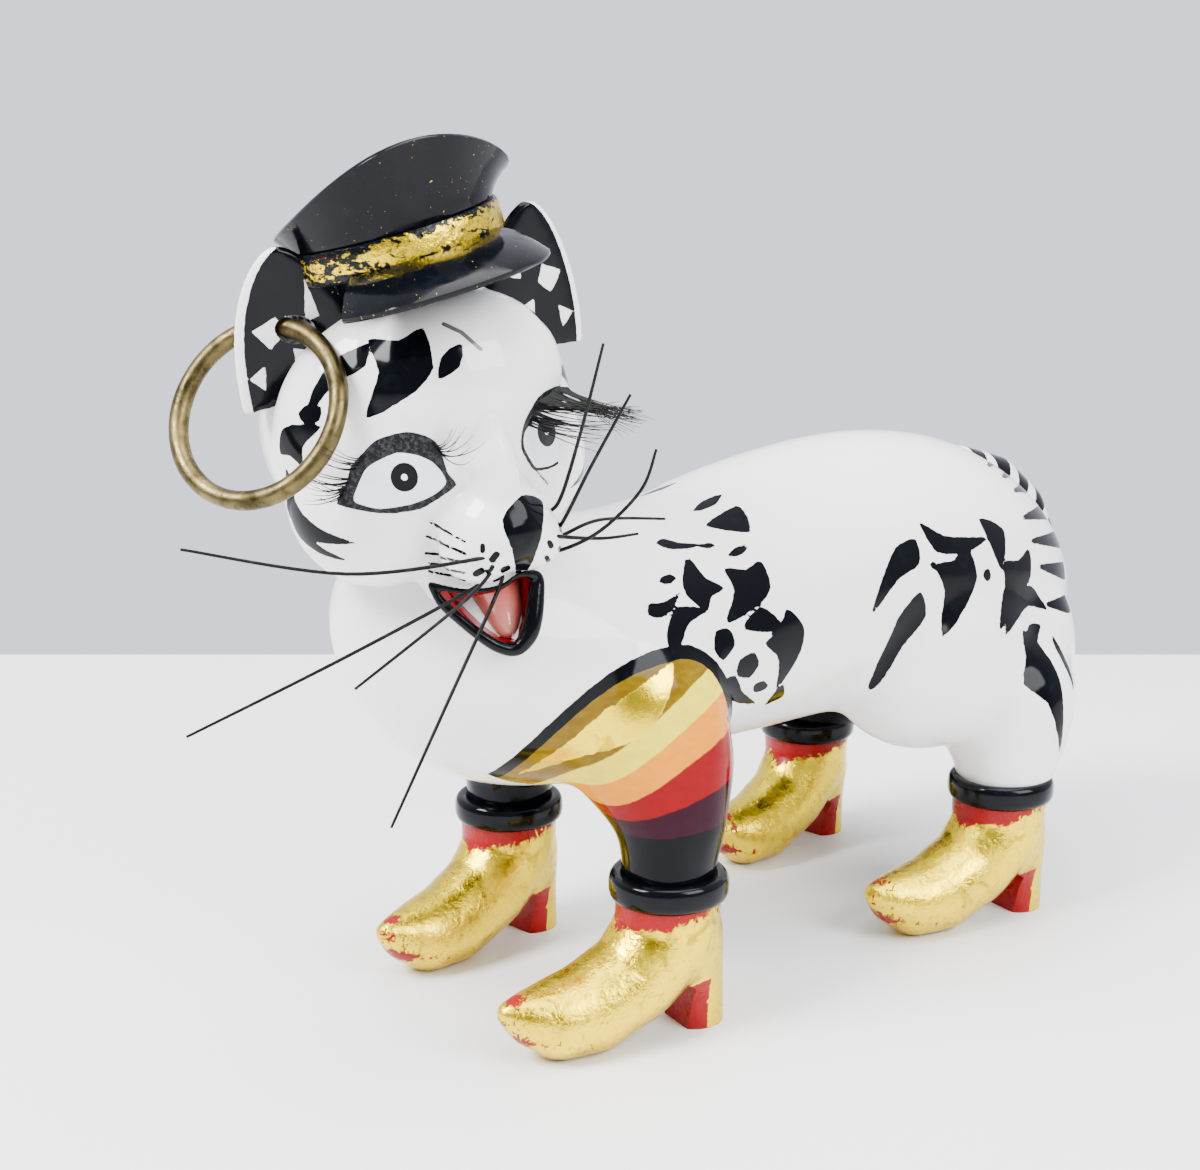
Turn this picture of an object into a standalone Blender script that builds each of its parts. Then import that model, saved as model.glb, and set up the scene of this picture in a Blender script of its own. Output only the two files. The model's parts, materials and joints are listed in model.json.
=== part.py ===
"""A painted alebrije cat that stands on four boots, wears a peaked cap and carries a hoop in one ear.

Every sub-part is its own object. The cat faces -Y, its left side is +X, and it stands on Z = 0. All of
it hangs under one empty, which is moved last so that the origin is the middle of the base.
"""

import math

import bmesh
import bpy
from mathutils import Matrix, Vector
from mathutils.bvhtree import BVHTree

MM = 0.001
GAP = 0.3 * MM  # air between two pieces that touch on the real figure

# Driving dimensions
BOOT_HEIGHT = 18.5 * MM  # sole to the flat top of the shaft
SHAFT_RADIUS = 7.3 * MM
HEEL_HEIGHT = 7 * MM
# Middle of each boot's shaft on the ground, and the turn of its toe towards the cat's left.
BOOTS = {
    "left_front": (18.5, -39.6, -8),
    "right_front": (-19.2, -38.3, 8),
    "left_rear": (21.0, 25.6, -8),
    "right_rear": (-20.5, 25.6, 8),
}
CUFF_HEIGHT = 3.2 * MM
ANKLE_RADIUS = 6.1 * MM
PIN_RADIUS = 1.25 * MM
HOOP_RADIUS = 10.65 * MM  # centreline of the ring
HOOP_WIRE = 1.15 * MM
HOOP_CLEARANCE = 0.45 * MM  # between the ring and the hole it swings in
HOOP_BEARING = math.radians(207.8)  # level bearing of the axis the ring swings about, from +X
HOOP_LEAN = math.radians(26)  # the ring rests on the cheek, so its foot stands out
HOOP_SLIP = math.radians(-14)  # the ring has slid round in its hole by this much
WHISKER_RADIUS = 0.26 * MM
BODY_VOXEL = 2.2 * MM
HEAD_VOXEL = 1.5 * MM

HEAD_CENTRE = Vector((1.1, -62.8, 79.4)) * MM
HEAD_TURN = math.radians(79)  # from straight ahead, towards the cat's left
HEAD_NOD = math.radians(6.3)
HEAD_TILT = math.radians(9)

COLOURS = {
    "white_lacquer": ((0.86, 0.86, 0.84, 1), 0.12, 0.0),
    "black_lacquer": ((0.006, 0.009, 0.014, 1), 0.15, 0.0),
    "stocking": ((0.70, 0.03, 0.05, 1), 0.2, 0.0),
    "gold_leaf": ((0.85, 0.62, 0.08, 1), 0.25, 1.0),
    "aged_brass": ((0.30, 0.24, 0.13, 1), 0.35, 1.0),
    "bristle": ((0.01, 0.01, 0.015, 1), 0.4, 0.0),
    "steel_wire": ((0.5, 0.5, 0.52, 1), 0.35, 1.0),
}


# ---------------------------------------------------------------- helpers


def material(name):
    """The named finish, made once."""
    found = bpy.data.materials.get(name)
    if found:
        return found
    made = bpy.data.materials.new(name)
    made.use_nodes = True
    colour, roughness, metallic = COLOURS[name]
    shader = made.node_tree.nodes["Principled BSDF"]
    shader.inputs["Base Color"].default_value = colour
    shader.inputs["Roughness"].default_value = roughness
    shader.inputs["Metallic"].default_value = metallic
    made.diffuse_color = colour
    return made


def object_of(name, bm, finish=None, matrix=None):
    """A linked object from a bmesh; one with no finish is a helper that no render shows."""
    mesh = bpy.data.meshes.new(name)
    bmesh.ops.recalc_face_normals(bm, faces=bm.faces)
    bm.to_mesh(mesh)
    bm.free()
    if matrix is not None:
        mesh.transform(matrix)
    made = bpy.data.objects.new(name, mesh)
    bpy.context.scene.collection.objects.link(made)
    if finish:
        made.data.materials.append(material(finish))
        made.parent = BASE
        mesh.shade_smooth()
        mesh.set_sharp_from_angle(angle=math.radians(40))
    else:
        made.hide_render = True
        made.display_type = "WIRE"
    return made


def settle(obj):
    """Makes the modifiers part of the mesh."""
    graph = bpy.context.evaluated_depsgraph_get()
    mesh = bpy.data.meshes.new_from_object(obj.evaluated_get(graph))
    obj.modifiers.clear()
    obj.data = mesh
    return obj


def boolean(obj, other, operation="DIFFERENCE"):
    """Cuts, keeps or joins obj with other at once."""
    change = obj.modifiers.new("cut", "BOOLEAN")
    change.operation = operation
    change.solver = "EXACT"
    change.object = other
    return settle(obj)


def copy_of(obj, name):
    """A hidden copy with its own mesh."""
    made = bpy.data.objects.new(name, obj.data.copy())
    bpy.context.scene.collection.objects.link(made)
    made.hide_render = True
    made.display_type = "WIRE"
    return made


def grown(obj, name, by=GAP):
    """A hidden copy of obj whose skin stands off by a gap."""
    made = copy_of(obj, name)
    swell = made.modifiers.new("grow", "DISPLACE")
    swell.strength = by
    swell.mid_level = 0
    return settle(made)


def facing(origin, turn=0.0, nod=0.0, tilt=0.0):
    """A local frame: +X forward, +Y left, +Z up.

    Turn is from -Y towards +X, nod is down and tilt lifts the left.
    """
    return (
        Matrix.Translation(origin)
        @ Matrix.Rotation(turn - math.pi / 2, 4, "Z")
        @ Matrix.Rotation(nod, 4, "Y")
        @ Matrix.Rotation(tilt, 4, "X")
    )


def along(start, end):
    """A frame at start with +Z towards end."""
    turn = (end - start).to_track_quat("Z", "Y").to_matrix().to_4x4()
    return Matrix.Translation(start) @ turn


def add_blob(bm, centre, radii, lean=0.0, detail=4):
    """An ellipsoid; lean tips its front down about the X axis. Sizes are in millimetres."""
    turn = Matrix.Translation(Vector(centre) * MM) @ Matrix.Rotation(lean, 4, "X")
    size = Matrix.Diagonal((*(r * MM for r in radii), 1))
    bmesh.ops.create_icosphere(bm, subdivisions=detail, radius=1, matrix=turn @ size)


def add_limb(bm, joints, step=1.5 * MM):
    """A row of close balls through joints, each (x, y, z, radius) in millimetres."""
    for (*a, ra), (*b, rb) in zip(joints, joints[1:]):
        start, end = Vector(a) * MM, Vector(b) * MM
        count = max(1, round((end - start).length / step))
        for i in range(count + 1):
            share = i / count
            place = Matrix.Translation(start.lerp(end, share))
            radius = (ra + (rb - ra) * share) * MM
            bmesh.ops.create_icosphere(bm, subdivisions=2, radius=radius, matrix=place)


def blended(name, bm, voxel, blend, keep, finish=None, matrix=None):
    """Overlapping shapes made one smooth skin. Blend is the width over which creases melt away."""
    made = object_of(name, bm, finish, matrix)
    remesh = made.modifiers.new("union", "REMESH")
    remesh.mode = "VOXEL"
    remesh.voxel_size = voxel
    smooth = made.modifiers.new("blend", "SMOOTH")
    smooth.factor = 0.5
    smooth.iterations = round((2 * blend / voxel) ** 2)
    thin = made.modifiers.new("thin", "DECIMATE")
    thin.ratio = keep
    settle(made)
    made.data.shade_smooth()
    return made


def loft(rings, close_ends=True):
    """A bmesh skin through rings of points, capped at both ends."""
    bm = bmesh.new()
    rows = [[bm.verts.new(p) for p in ring] for ring in rings]
    for low, high in zip(rows, rows[1:]):
        for i in range(len(low)):
            j = (i + 1) % len(low)
            bm.faces.new((low[i], low[j], high[j], high[i]))
    if close_ends:
        bm.faces.new(rows[0])
        bm.faces.new(rows[-1])
    else:
        for i in range(len(rows[0])):
            j = (i + 1) % len(rows[0])
            bm.faces.new((rows[-1][i], rows[-1][j], rows[0][j], rows[0][i]))
    return bm


def turned(profile, segments):
    """A closed profile of (radius, height) points swept round Z."""
    rings = []
    for i in range(segments):
        angle = 2 * math.pi * i / segments
        rings.append([Vector((r * math.cos(angle), r * math.sin(angle), z)) for r, z in profile])
    return loft(rings, close_ends=False)


def round_profile(centre, radii, count):
    """An ellipse of (radius, height) points."""
    steps = (2 * math.pi * i / count for i in range(count))
    return [(centre[0] + radii[0] * math.cos(a), centre[1] + radii[1] * math.sin(a)) for a in steps]


def drop_slivers(obj):
    """Keeps only the largest loose part of a piece."""
    bm = bmesh.new()
    bm.from_mesh(obj.data)
    parts, left = [], set(bm.verts)
    while left:
        part, edge = set(), [left.pop()]
        while edge:
            part.update(edge)
            edge = [v for e in (e for v in edge for e in v.link_edges) for v in e.verts if v in left]
            left.difference_update(edge)
        parts.append(part)
    best = max(parts, key=len)
    bmesh.ops.delete(bm, geom=[v for part in parts if part is not best for v in part], context="VERTS")
    bm.to_mesh(obj.data)
    bm.free()
    return obj


def rod(name, start, end, radius, finish=None, sides=16):
    """A straight round bar between two points."""
    length = (end - start).length
    place = along(start, end) @ Matrix.Translation((0, 0, length / 2))
    bm = bmesh.new()
    bmesh.ops.create_cone(
        bm, cap_ends=True, segments=sides, radius1=radius, radius2=radius, depth=length, matrix=place
    )
    return object_of(name, bm, finish)


def pin_through(name, start, end, pieces, radius=PIN_RADIUS):
    """A steel pin, and a bore for it in each piece."""
    reach = (end - start).normalized() * GAP
    cutter = rod("bore_" + name, start - reach, end + reach, radius + GAP)
    for piece in pieces:
        boolean(piece, cutter)
    return rod(name, start, end, radius, "steel_wire")


def wedge(name, outline, x_from, x_to):
    """A prism whose (y, z) outline, in millimetres, runs from x_from to x_to."""
    rings = [[Vector((x, y, z)) * MM for y, z in outline] for x in (x_from, x_to)]
    return object_of(name, loft(rings))


# ---------------------------------------------------------------- boots and cuffs


def boot_frame(name):
    """The boot's own frame, under the middle of its shaft: +X runs to the toe."""
    x, y, turn = BOOTS[name]
    return facing(Vector((x, y, 0)) * MM, turn=math.radians(turn))


def boot_blank(name):
    """Shaft, instep, ball and toe melted together; the heel comes down behind the arch."""
    bm = bmesh.new()
    shaft = [(0, 0, 24, 7.3), (0, 0, 14, 6.9), (5, 0, 9.6, 6.9), (12, 0, 6.2, 6.9), (16.5, 0, 5.9, 6.5)]
    add_limb(bm, shaft)
    add_limb(bm, [(16.5, 0, 5.9, 6.5), (20.5, 0, 7.2, 4.4), (23.6, 0, 8.0, 2.2)])
    add_limb(bm, [(-1.2, 0, 13, 6.4), (-3.8, 0, 6, 4.2), (-4.6, 0, -3, 3.7)])
    return blended(name, bm, 1.2 * MM, 0.9 * MM, 0.24, "gold_leaf")


def make_boot(name, frame):
    """A gilded ankle boot with a block heel, solid but for the pin's bore."""
    boot = boot_blank(name)
    top = BOOT_HEIGHT / MM
    profile = [(-12, 0), (-1.6, 0), (-1.9, HEEL_HEIGHT / MM), (2.2, 5.6), (8, 0.8), (10.5, 0)]
    profile += [(19, 0), (19, -8), (-12, -8)]
    rings = [[Vector((x, y, z)) * MM for x, z in profile] for y in (-12, 12)]
    boolean(boot, object_of("sole_" + name, loft(rings)))
    section = ((-14, top), (14, top), (14, 40), (-14, 40))
    rings = [[Vector((x, y, z)) * MM for x, z in section] for y in (-14, 14)]
    boolean(boot, object_of("top_" + name, loft(rings)))
    boot.data.transform(frame)
    return boot


def make_cuff(name, frame):
    """The black rolled collar on top of the boot's shaft, open for the ankle."""
    inner = ANKLE_RADIUS + 2 * GAP
    outer = SHAFT_RADIUS + 0.6 * MM
    middle = ((inner + outer) / 2, BOOT_HEIGHT + GAP + CUFF_HEIGHT / 2)
    profile = round_profile(middle, ((outer - inner) / 2, CUFF_HEIGHT / 2), 8)
    return object_of(name, turned(profile, 24), "black_lacquer", frame)


# ---------------------------------------------------------------- body, legs and tail

# Stations along the barrel: place, middle height, half height, half width, in millimetres.
BARREL = [
    (-73, 55.5, 6, 7),
    (-70, 54.5, 11, 12),
    (-63, 52.5, 17, 17.5),
    (-52, 50.0, 18.3, 20.5),
    (-38, 49.2, 17.8, 21),
    (-26, 50.0, 17.6, 21),
    (-12, 51.6, 19.3, 21),
    (2, 52.6, 20.5, 21),
    (16, 52.6, 21.1, 21.5),
    (30, 50.8, 21.0, 21.5),
    (42, 48.0, 19.0, 19.5),
    (51, 45.5, 14.5, 14.5),
    (56, 44.0, 9.5, 9),
    (58, 43.5, 4, 4),
]
# The swell of a haunch on the left side: centre and radii, in millimetres.
HAUNCHES = [((14.0, 18, 41), (10.5, 20.5, 14.5)), ((13.5, 36, 39), (10, 13, 14.5))]


def smooth_stations(rows, steps):
    """Catmull-Rom points between rows of numbers."""
    result = []
    last = len(rows) - 1
    for i in range(last):
        before, start, end, after = rows[max(0, i - 1)], rows[i], rows[i + 1], rows[min(last, i + 2)]
        for k in range(steps):
            t = k / steps
            result.append([
                0.5 * (2 * p1 + (p2 - p0) * t + (2 * p0 - 5 * p1 + 4 * p2 - p3) * t**2
                       + (3 * p1 - p0 - 3 * p2 + p3) * t**3)
                for p0, p1, p2, p3 in zip(before, start, end, after)
            ])
    return result + [list(rows[-1])]


def barrel(count=40):
    """The trunk as level-ended rings from the breast to the rump."""
    rings = []
    for y, z, high, wide in smooth_stations(BARREL, 4):
        ring = []
        for i in range(count):
            angle = 2 * math.pi * i / count
            ring.append(Vector((wide * math.cos(angle), y, z + high * math.sin(angle))) * MM)
        rings.append(ring)
    return loft(rings)


def leg_joints(name):
    """The balls of one leg, from the body down to the boot."""
    x, y, _ = BOOTS[name]
    side = math.copysign(1, x)
    if "rear" in name:
        return [
            (side * 17, 30.7, 33, 11.2),
            (side * 19, 28.8, 28.5, 9.7),
            (x, y + 1, 24, 7.4),
            (x, y, 14, 6.6),
        ]
    return [
        (side * 11, -40.5, 44, 13),
        (side * 15, -38.5, 36, 10.3),
        (x, y + 0.6, 29.5, 7.4),
        (x, y, 22, 6.3),
        (x, y, 14, 6.2),
    ]


def whole_body():
    """Torso and legs as one skin, before the joints are cut."""
    bm = barrel()
    for (x, y, z), radii in HAUNCHES:
        add_blob(bm, (x, y, z), radii)
        add_blob(bm, (-x, y, z), radii)
    for name in BOOTS:
        add_limb(bm, leg_joints(name))
    return blended("whole_body", bm, BODY_VOXEL, 2.6 * MM, 0.36)


FRONT_LEG_OUTLINE = [(-66, 32.8), (-41.9, 53.2), (-27, 35.5), (-27, 0), (-66, 0)]
REAR_LEG_OUTLINE = [(5, 24.5), (50, 24.5), (50, 0), (5, 0)]


def shown(obj, name, finish):
    """Gives a helper a name and a finish, so that it becomes a piece of the figure."""
    obj.name = name
    obj.hide_render = False
    obj.display_type = "TEXTURED"
    obj.data.materials.clear()
    obj.data.materials.append(material(finish))
    obj.parent = BASE
    return obj


def cut_leg(boot_name, body, finish):
    """Parts one leg from the body along its joint faces, and ends it flat on the boot."""
    name = boot_name + "_leg"
    side = math.copysign(1, BOOTS[boot_name][0])
    outline, inside = (REAR_LEG_OUTLINE, 6) if "rear" in name else (FRONT_LEG_OUTLINE, 7)
    keep = wedge("keep_" + name, outline, side * inside, side * 40)
    leg = copy_of(body, "raw_" + name)
    boolean(leg, keep, "INTERSECT")
    foot = (BOOT_HEIGHT + GAP) / MM
    boolean(leg, wedge("below_" + name, [(-80, foot), (60, foot), (60, -5), (-80, -5)], 0, side * 50))
    boolean(body, grown(keep, "room_" + name))
    return shown(leg, name, finish)


def make_tail(name):
    """A striped tail that leaves the rump's top and hangs close behind it."""
    spine = [
        (0, 38, 66, 3.4),
        (0, 46.5, 62.8, 4.2),
        (0, 53.5, 57.5, 4.4),
        (0, 58.7, 49, 4.3),
        (0, 60.3, 41, 4.0),
        (0, 59.3, 35.5, 3.3),
        (0, 57.5, 32, 2.6),
    ]
    bm = bmesh.new()
    add_limb(bm, spine)
    return blended(name, bm, 1.4 * MM, 1.2 * MM, 0.45, "white_lacquer")


# ---------------------------------------------------------------- head, ears and cap

HEAD_BLOBS = [
    # centre and radii in the head's frame, in millimetres: forward, left, up
    ((-2, -1.8, 3), (17.5, 19.6, 18)),
    ((2, -9, -4), (10.5, 12, 12)),
    ((1, 8.3, -3), (11, 9.8, 11)),
    ((6, 0, 9), (11, 14, 11)),
    ((14, 0, -7), (8, 7, 6)),
    ((16, 3.2, -9), (5, 4.5, 4)),
    ((16, -3.2, -9), (5, 4.5, 4)),
    ((10, -0.5, -16), (7, 7, 7)),
    ((14.8, 0, -22.4), (3.8, 4.2, 4)),
    ((14, 0, 0), (6.5, 3.2, 8)),
]


def make_head():
    """The head, its muzzle and its jaw as one carving."""
    bm = bmesh.new()
    for centre, radii in HEAD_BLOBS:
        add_blob(bm, centre, radii)
    return blended("head", bm, HEAD_VOXEL, 1.3 * MM, 0.36, "white_lacquer", HEAD)


def ear_ring(share, count):
    """A crescent section of the ear at a share of its height: hollow in front, rounded behind."""
    half = 7.6 * (1 - share**2.2) ** 0.6
    thick = 3.4 * (1 - share) + 1.6
    bow = 2.6 * (1 - share)
    ring = []
    for i in range(count):
        angle = 2 * math.pi * i / count
        y = half * math.cos(angle)
        x = thick / 2 * math.sin(angle) - bow * (1 - (y / 7.6) ** 2)
        ring.append(Vector((x, y, 18.5 * share)) * MM)
    return ring


def make_ear(name, side):
    """A cupped ear that stands on the skull."""
    splay = math.radians(4)
    place = (
        HEAD
        @ Matrix.Translation(Vector((1.2, side * 14.8 - 1.4, 9)) * MM)
        @ Matrix.Rotation(-side * splay, 4, "X")
        @ Matrix.Rotation(side * math.radians(12), 4, "Z")
    )
    shares = [0, 0.2, 0.4, 0.6, 0.75, 0.87, 0.95, 0.99]
    return object_of(name, loft([ear_ring(s, 20) for s in shares]), "black_lacquer", place), place


def cap_ring(share, count=32):
    """A level of the cap's crown, from the band at 0 to the top rim at 1. The front stands tallest."""
    ring = []
    for i in range(count):
        angle = 2 * math.pi * i / count
        front = (1 + math.cos(angle)) / 2
        rise = 4 + 7.2 * front + 1.2 * math.sin(angle)
        bell = share**1.3
        forward = 11.5 * (1 + 0.24 * bell) * math.cos(angle)
        out = (forward, 12 * (1 + 0.12 * bell) * math.sin(angle) + 1.4 * bell)
        ring.append(Vector((*out, rise * share)) * MM)
    return ring


def cap_frame():
    """The cap's own frame on top of the head, tipped back a little."""
    return (
        HEAD
        @ Matrix.Translation(Vector((0.5, -2.0, 25.3)) * MM)
        @ Matrix.Rotation(math.radians(-4), 4, "Y")
        @ Matrix.Rotation(math.radians(12), 4, "X")
    )


def oval(grow, z, count=32):
    """A level oval round the cap's own axis, grown from the outline of the band."""
    angles = (2 * math.pi * i / count for i in range(count))
    return [Vector(((11.5 + grow) * math.cos(a), (12 + grow) * math.sin(a), z)) * MM for a in angles]


def make_crown(name, frame):
    """The cap's plug inside the band, and above it the flared crown closed by a low dome."""
    rings = [oval(-2.9, -9), oval(-2.9, 0)]
    rings += [cap_ring(s) for s in (0, 0.25, 0.5, 0.75, 0.93, 1)]
    rim = rings[-1]
    for share, lift in ((0.93, 0.35), (0.6, 0.9), (0.25, 1.1)):
        middle = ((1 - share) * 8 + lift) * MM
        rings.append([Vector((p.x * share, p.y * share, p.z * share + middle)) for p in rim])
    return object_of(name, loft(rings), "black_lacquer", frame)


def make_band(name, frame):
    """The gilded band, a ring under the flare of the crown."""
    rings = [oval(0.2, -3.9), oval(-2.6, -3.9), oval(-2.6, -0.3), oval(0.2, -0.3)]
    return object_of(name, loft(rings, close_ends=False), "gold_leaf", frame)


def make_peak(name, frame):
    """The cap's curved peak, drooping from the front of the band."""
    rings = []
    count = 13
    for i in range(count):
        angle = math.radians(-58 + 116 * i / (count - 1))
        c, s = math.cos(angle), math.sin(angle)
        reach = 8.5 * math.cos(angle * 1.2) ** 0.8 + 1
        ring = []
        section = ((0, -1.2), (reach / 2, -2.2), (reach, -4.6), (reach, -5.8), (reach / 2, -3.8), (0, -3))
        for out, z in section:
            droop = -0.2 * (1 - c) * out
            ring.append(Vector(((12.05 + out) * c, (12.55 + out) * s, z + droop)) * MM)
        rings.append(ring)
    return object_of(name, loft(rings), "black_lacquer", frame)


# ---------------------------------------------------------------- whiskers, lashes, hoop

# Each bristle from its root on the muzzle to its tip, in the head's frame and in millimetres:
# forward, left, up.
WHISKERS = {
    "right_whisker_1": [(20.5, -4.4, -8.4), (18, -20, -7), (14, -37, -0.8)],
    "right_whisker_2": [(17.2, -4, -13), (18, -22, -17), (18, -41.1, -21)],
    "right_whisker_3": [(20.3, -3.6, -10.6), (24, -9.6, -12), (26, -23.5, -17.3)],
    "right_whisker_4": [(17, -1.6, -14.1), (22, -12, -25), (26, -21.8, -35.6)],
    "left_whisker_1": [(17, 7.5, -5.5), (21.5, 9.2, 4), (25, 11.4, 14.8)],
    "left_whisker_2": [(18, 7, -8), (22, 10, 0), (25.5, 14, 8.4)],
    "left_whisker_3": [(17, 7, -11.5), (22, 10.3, -8.3), (25, 14.6, -3.4), (26, 16.5, 1.4)],
    "left_whisker_4": [(17.5, 7, -9.5), (18, 12.4, -8.6), (18, 21.2, -10.7)],
    "left_whisker_5": [(19.9, 5.5, -8.4), (17.5, 12.5, -11.2), (17, 17.8, -12.1)],
}


def make_whisker(name, head_tree):
    """A stiff bristle that starts just off the muzzle, where its hole is."""
    route = [HEAD @ (Vector(p) * MM) for p in WHISKERS[name]]
    skin, normal, _, _ = head_tree.find_nearest(route[0])
    route[0] = skin + normal * GAP * 2
    curve = bpy.data.curves.new(name, "CURVE")
    curve.dimensions = "3D"
    curve.bevel_depth = WHISKER_RADIUS
    curve.bevel_resolution = 1
    curve.use_fill_caps = True
    points = smooth_stations(route, 4)
    spline = curve.splines.new("POLY")
    spline.points.add(len(points) - 1)
    for slot, p in zip(spline.points, points):
        slot.co = (*p, 1)
    made = bpy.data.objects.new(name, curve)
    bpy.context.scene.collection.objects.link(made)
    made.data.materials.append(material("bristle"))
    made.parent = BASE
    return made


def make_lash(name, side, head_tree):
    """The lash strip over an eye: a thin fan from the lid outwards."""
    lid = [(8.2, 15.6, 0.6), (10.5, 14, 4.6), (13, 11, 6.6), (15.2, 7.6, 6.0), (16.6, 5.2, 3.2)]
    rings = []
    for f, l, u in lid:
        start, normal, _, _ = head_tree.find_nearest(HEAD @ (Vector((f, side * l, u)) * MM))
        up = (HEAD.to_3x3() @ Vector((0, 0, 1))).normalized()
        root = start + normal * GAP * 2
        tip = root + (normal * 0.95 + up * 0.15).normalized() * 6.5 * MM
        thick = (tip - root).cross(HEAD.to_3x3() @ Vector((0, 1, 0))).normalized() * 0.25 * MM
        rings.append([root - thick, root + thick, tip + thick * 0.8, tip - thick * 0.8])
    return object_of(name, loft(rings), "bristle")


def ring_shape(name, wire, swing=0.0, finish=None):
    """The ring, or with a thicker wire the room it needs, swung outwards from rest."""
    ring = turned(round_profile((HOOP_RADIUS, 0), (wire, wire), 10), 48)
    upright = Matrix.Translation((0, 0, -HOOP_RADIUS)) @ Matrix.Rotation(math.pi / 2, 4, "X")
    return object_of(name, ring, finish, HOOP @ Matrix.Rotation(swing, 4, "X") @ upright)


def make_hoop(name):
    """The brass ring, hanging in the ear. Its origin is the middle of the hole it swings in."""
    made = ring_shape(name, HOOP_WIRE, finish="aged_brass")
    made.data.transform(Matrix.Translation(-HOOP.translation))
    made.location = HOOP.translation
    return made


# ---------------------------------------------------------------- the figure

for old in list(bpy.data.objects):
    bpy.data.objects.remove(old)

BASE = bpy.data.objects.new("figure_base", None)
bpy.context.scene.collection.objects.link(BASE)
HEAD = facing(HEAD_CENTRE, HEAD_TURN, HEAD_NOD, HEAD_TILT)
# The hole's own frame: the ring swings about its +X and hangs along its -Z.
HOOP = (
    Matrix.Translation(HEAD @ (Vector((1.5, -16.6, 17.6)) * MM))
    @ Matrix.Rotation(HOOP_BEARING, 4, "Z")
    @ Matrix.Rotation(HOOP_LEAN, 4, "X")
    @ Matrix.Rotation(HOOP_SLIP, 4, "Y")
)


def main():
    """Builds every piece, then sets the figure on the middle of its base."""
    finishes = {"left_front": "stocking", "left_rear": "white_lacquer"}
    torso = whole_body()
    for name, (x, y, _) in BOOTS.items():
        leg = cut_leg(name, torso, finishes.get(name, "black_lacquer"))
        frame = boot_frame(name)
        boot = make_boot(name + "_boot", frame)
        cuff = make_cuff(name + "_cuff", frame)
        for piece in (leg, torso):
            boolean(piece, grown(cuff, "cuff_room"))
        low, high = (Vector((x, y, z)) * MM for z in (9, 34 if "rear" in name else 44))
        pin_through(name + "_leg_pin", low, high, [boot, leg, torso])
    shown(torso, "torso", "white_lacquer")

    tail = make_tail("tail")
    boolean(tail, grown(torso, "tail_seat"))
    pin_through("tail_pin", Vector((0, 50, 44)) * MM, Vector((0, 61, 44)) * MM, [tail, torso])

    head = make_head()
    drop_slivers(boolean(head, grown(torso, "neck_seat")))
    pin_through("neck_pin", Vector((0, -60, 50)) * MM, HEAD_CENTRE, [head, torso])

    cap = cap_frame()
    crown = make_crown("cap_crown", cap)
    skull = grown(head, "skull_room")
    cap_pieces = (crown, make_band("cap_band", cap), make_peak("cap_peak", cap))
    for piece in cap_pieces:
        boolean(piece, skull)
    cap_room = [grown(piece, "room_" + piece.name) for piece in cap_pieces]
    low, high = (cap @ (Vector((0, 0, z)) * MM) for z in (-10, 3))
    pin_through("cap_pin", low, high, [crown, head])

    for name, side in (("left_ear", 1), ("right_ear", -1)):
        ear, frame = make_ear(name, side)
        boolean(ear, skull)
        for room in cap_room:
            boolean(ear, room)
        low, high = (frame @ (Vector((-1.9, side * 3.2, z)) * MM) for z in (-4, 5.5))
        pin_through(name + "_pin", low, high, [ear, head], 0.6 * MM)
        if side < 0:
            ends = (HOOP @ (Vector((x, 0, 0)) * MM) for x in (-5, 5))
            boolean(ear, rod("earring_hole", *ends, HOOP_WIRE + 1.6 * HOOP_CLEARANCE))
            for swing in (0, 22, 44):
                room = HOOP_WIRE + HOOP_CLEARANCE * (1 - swing / 200)
                boolean(ear, ring_shape(f"earring_path_{swing}", room, math.radians(swing)))
            drop_slivers(ear)
    make_hoop("earring_hoop")

    tree = BVHTree.FromObject(head, bpy.context.evaluated_depsgraph_get())
    for name in WHISKERS:
        make_whisker(name, tree)
    make_lash("left_lashes", 1, tree)
    make_lash("right_lashes", -1, tree)

    bpy.context.view_layer.update()
    pieces = [o for o in BASE.children if not o.hide_render]
    corners = [o.matrix_world @ Vector(corner) for o in pieces for corner in o.bound_box]
    for axis in (0, 1):
        reach = [c[axis] for c in corners]
        BASE.location[axis] = -(min(reach) + max(reach)) / 2


main()
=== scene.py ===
"""The looks of a painted, carved cat that stands in gilded boots with a cap and a hoop earring.

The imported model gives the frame. Each operator below models one piece, or one group of like pieces, and the
panel in the sidebar lists them. Lengths in the code are millimetres until a piece is placed, unless a name
says otherwise.
"""

import json
import math
import random

import bpy
import numpy as np
from mathutils import Matrix, Vector


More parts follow.
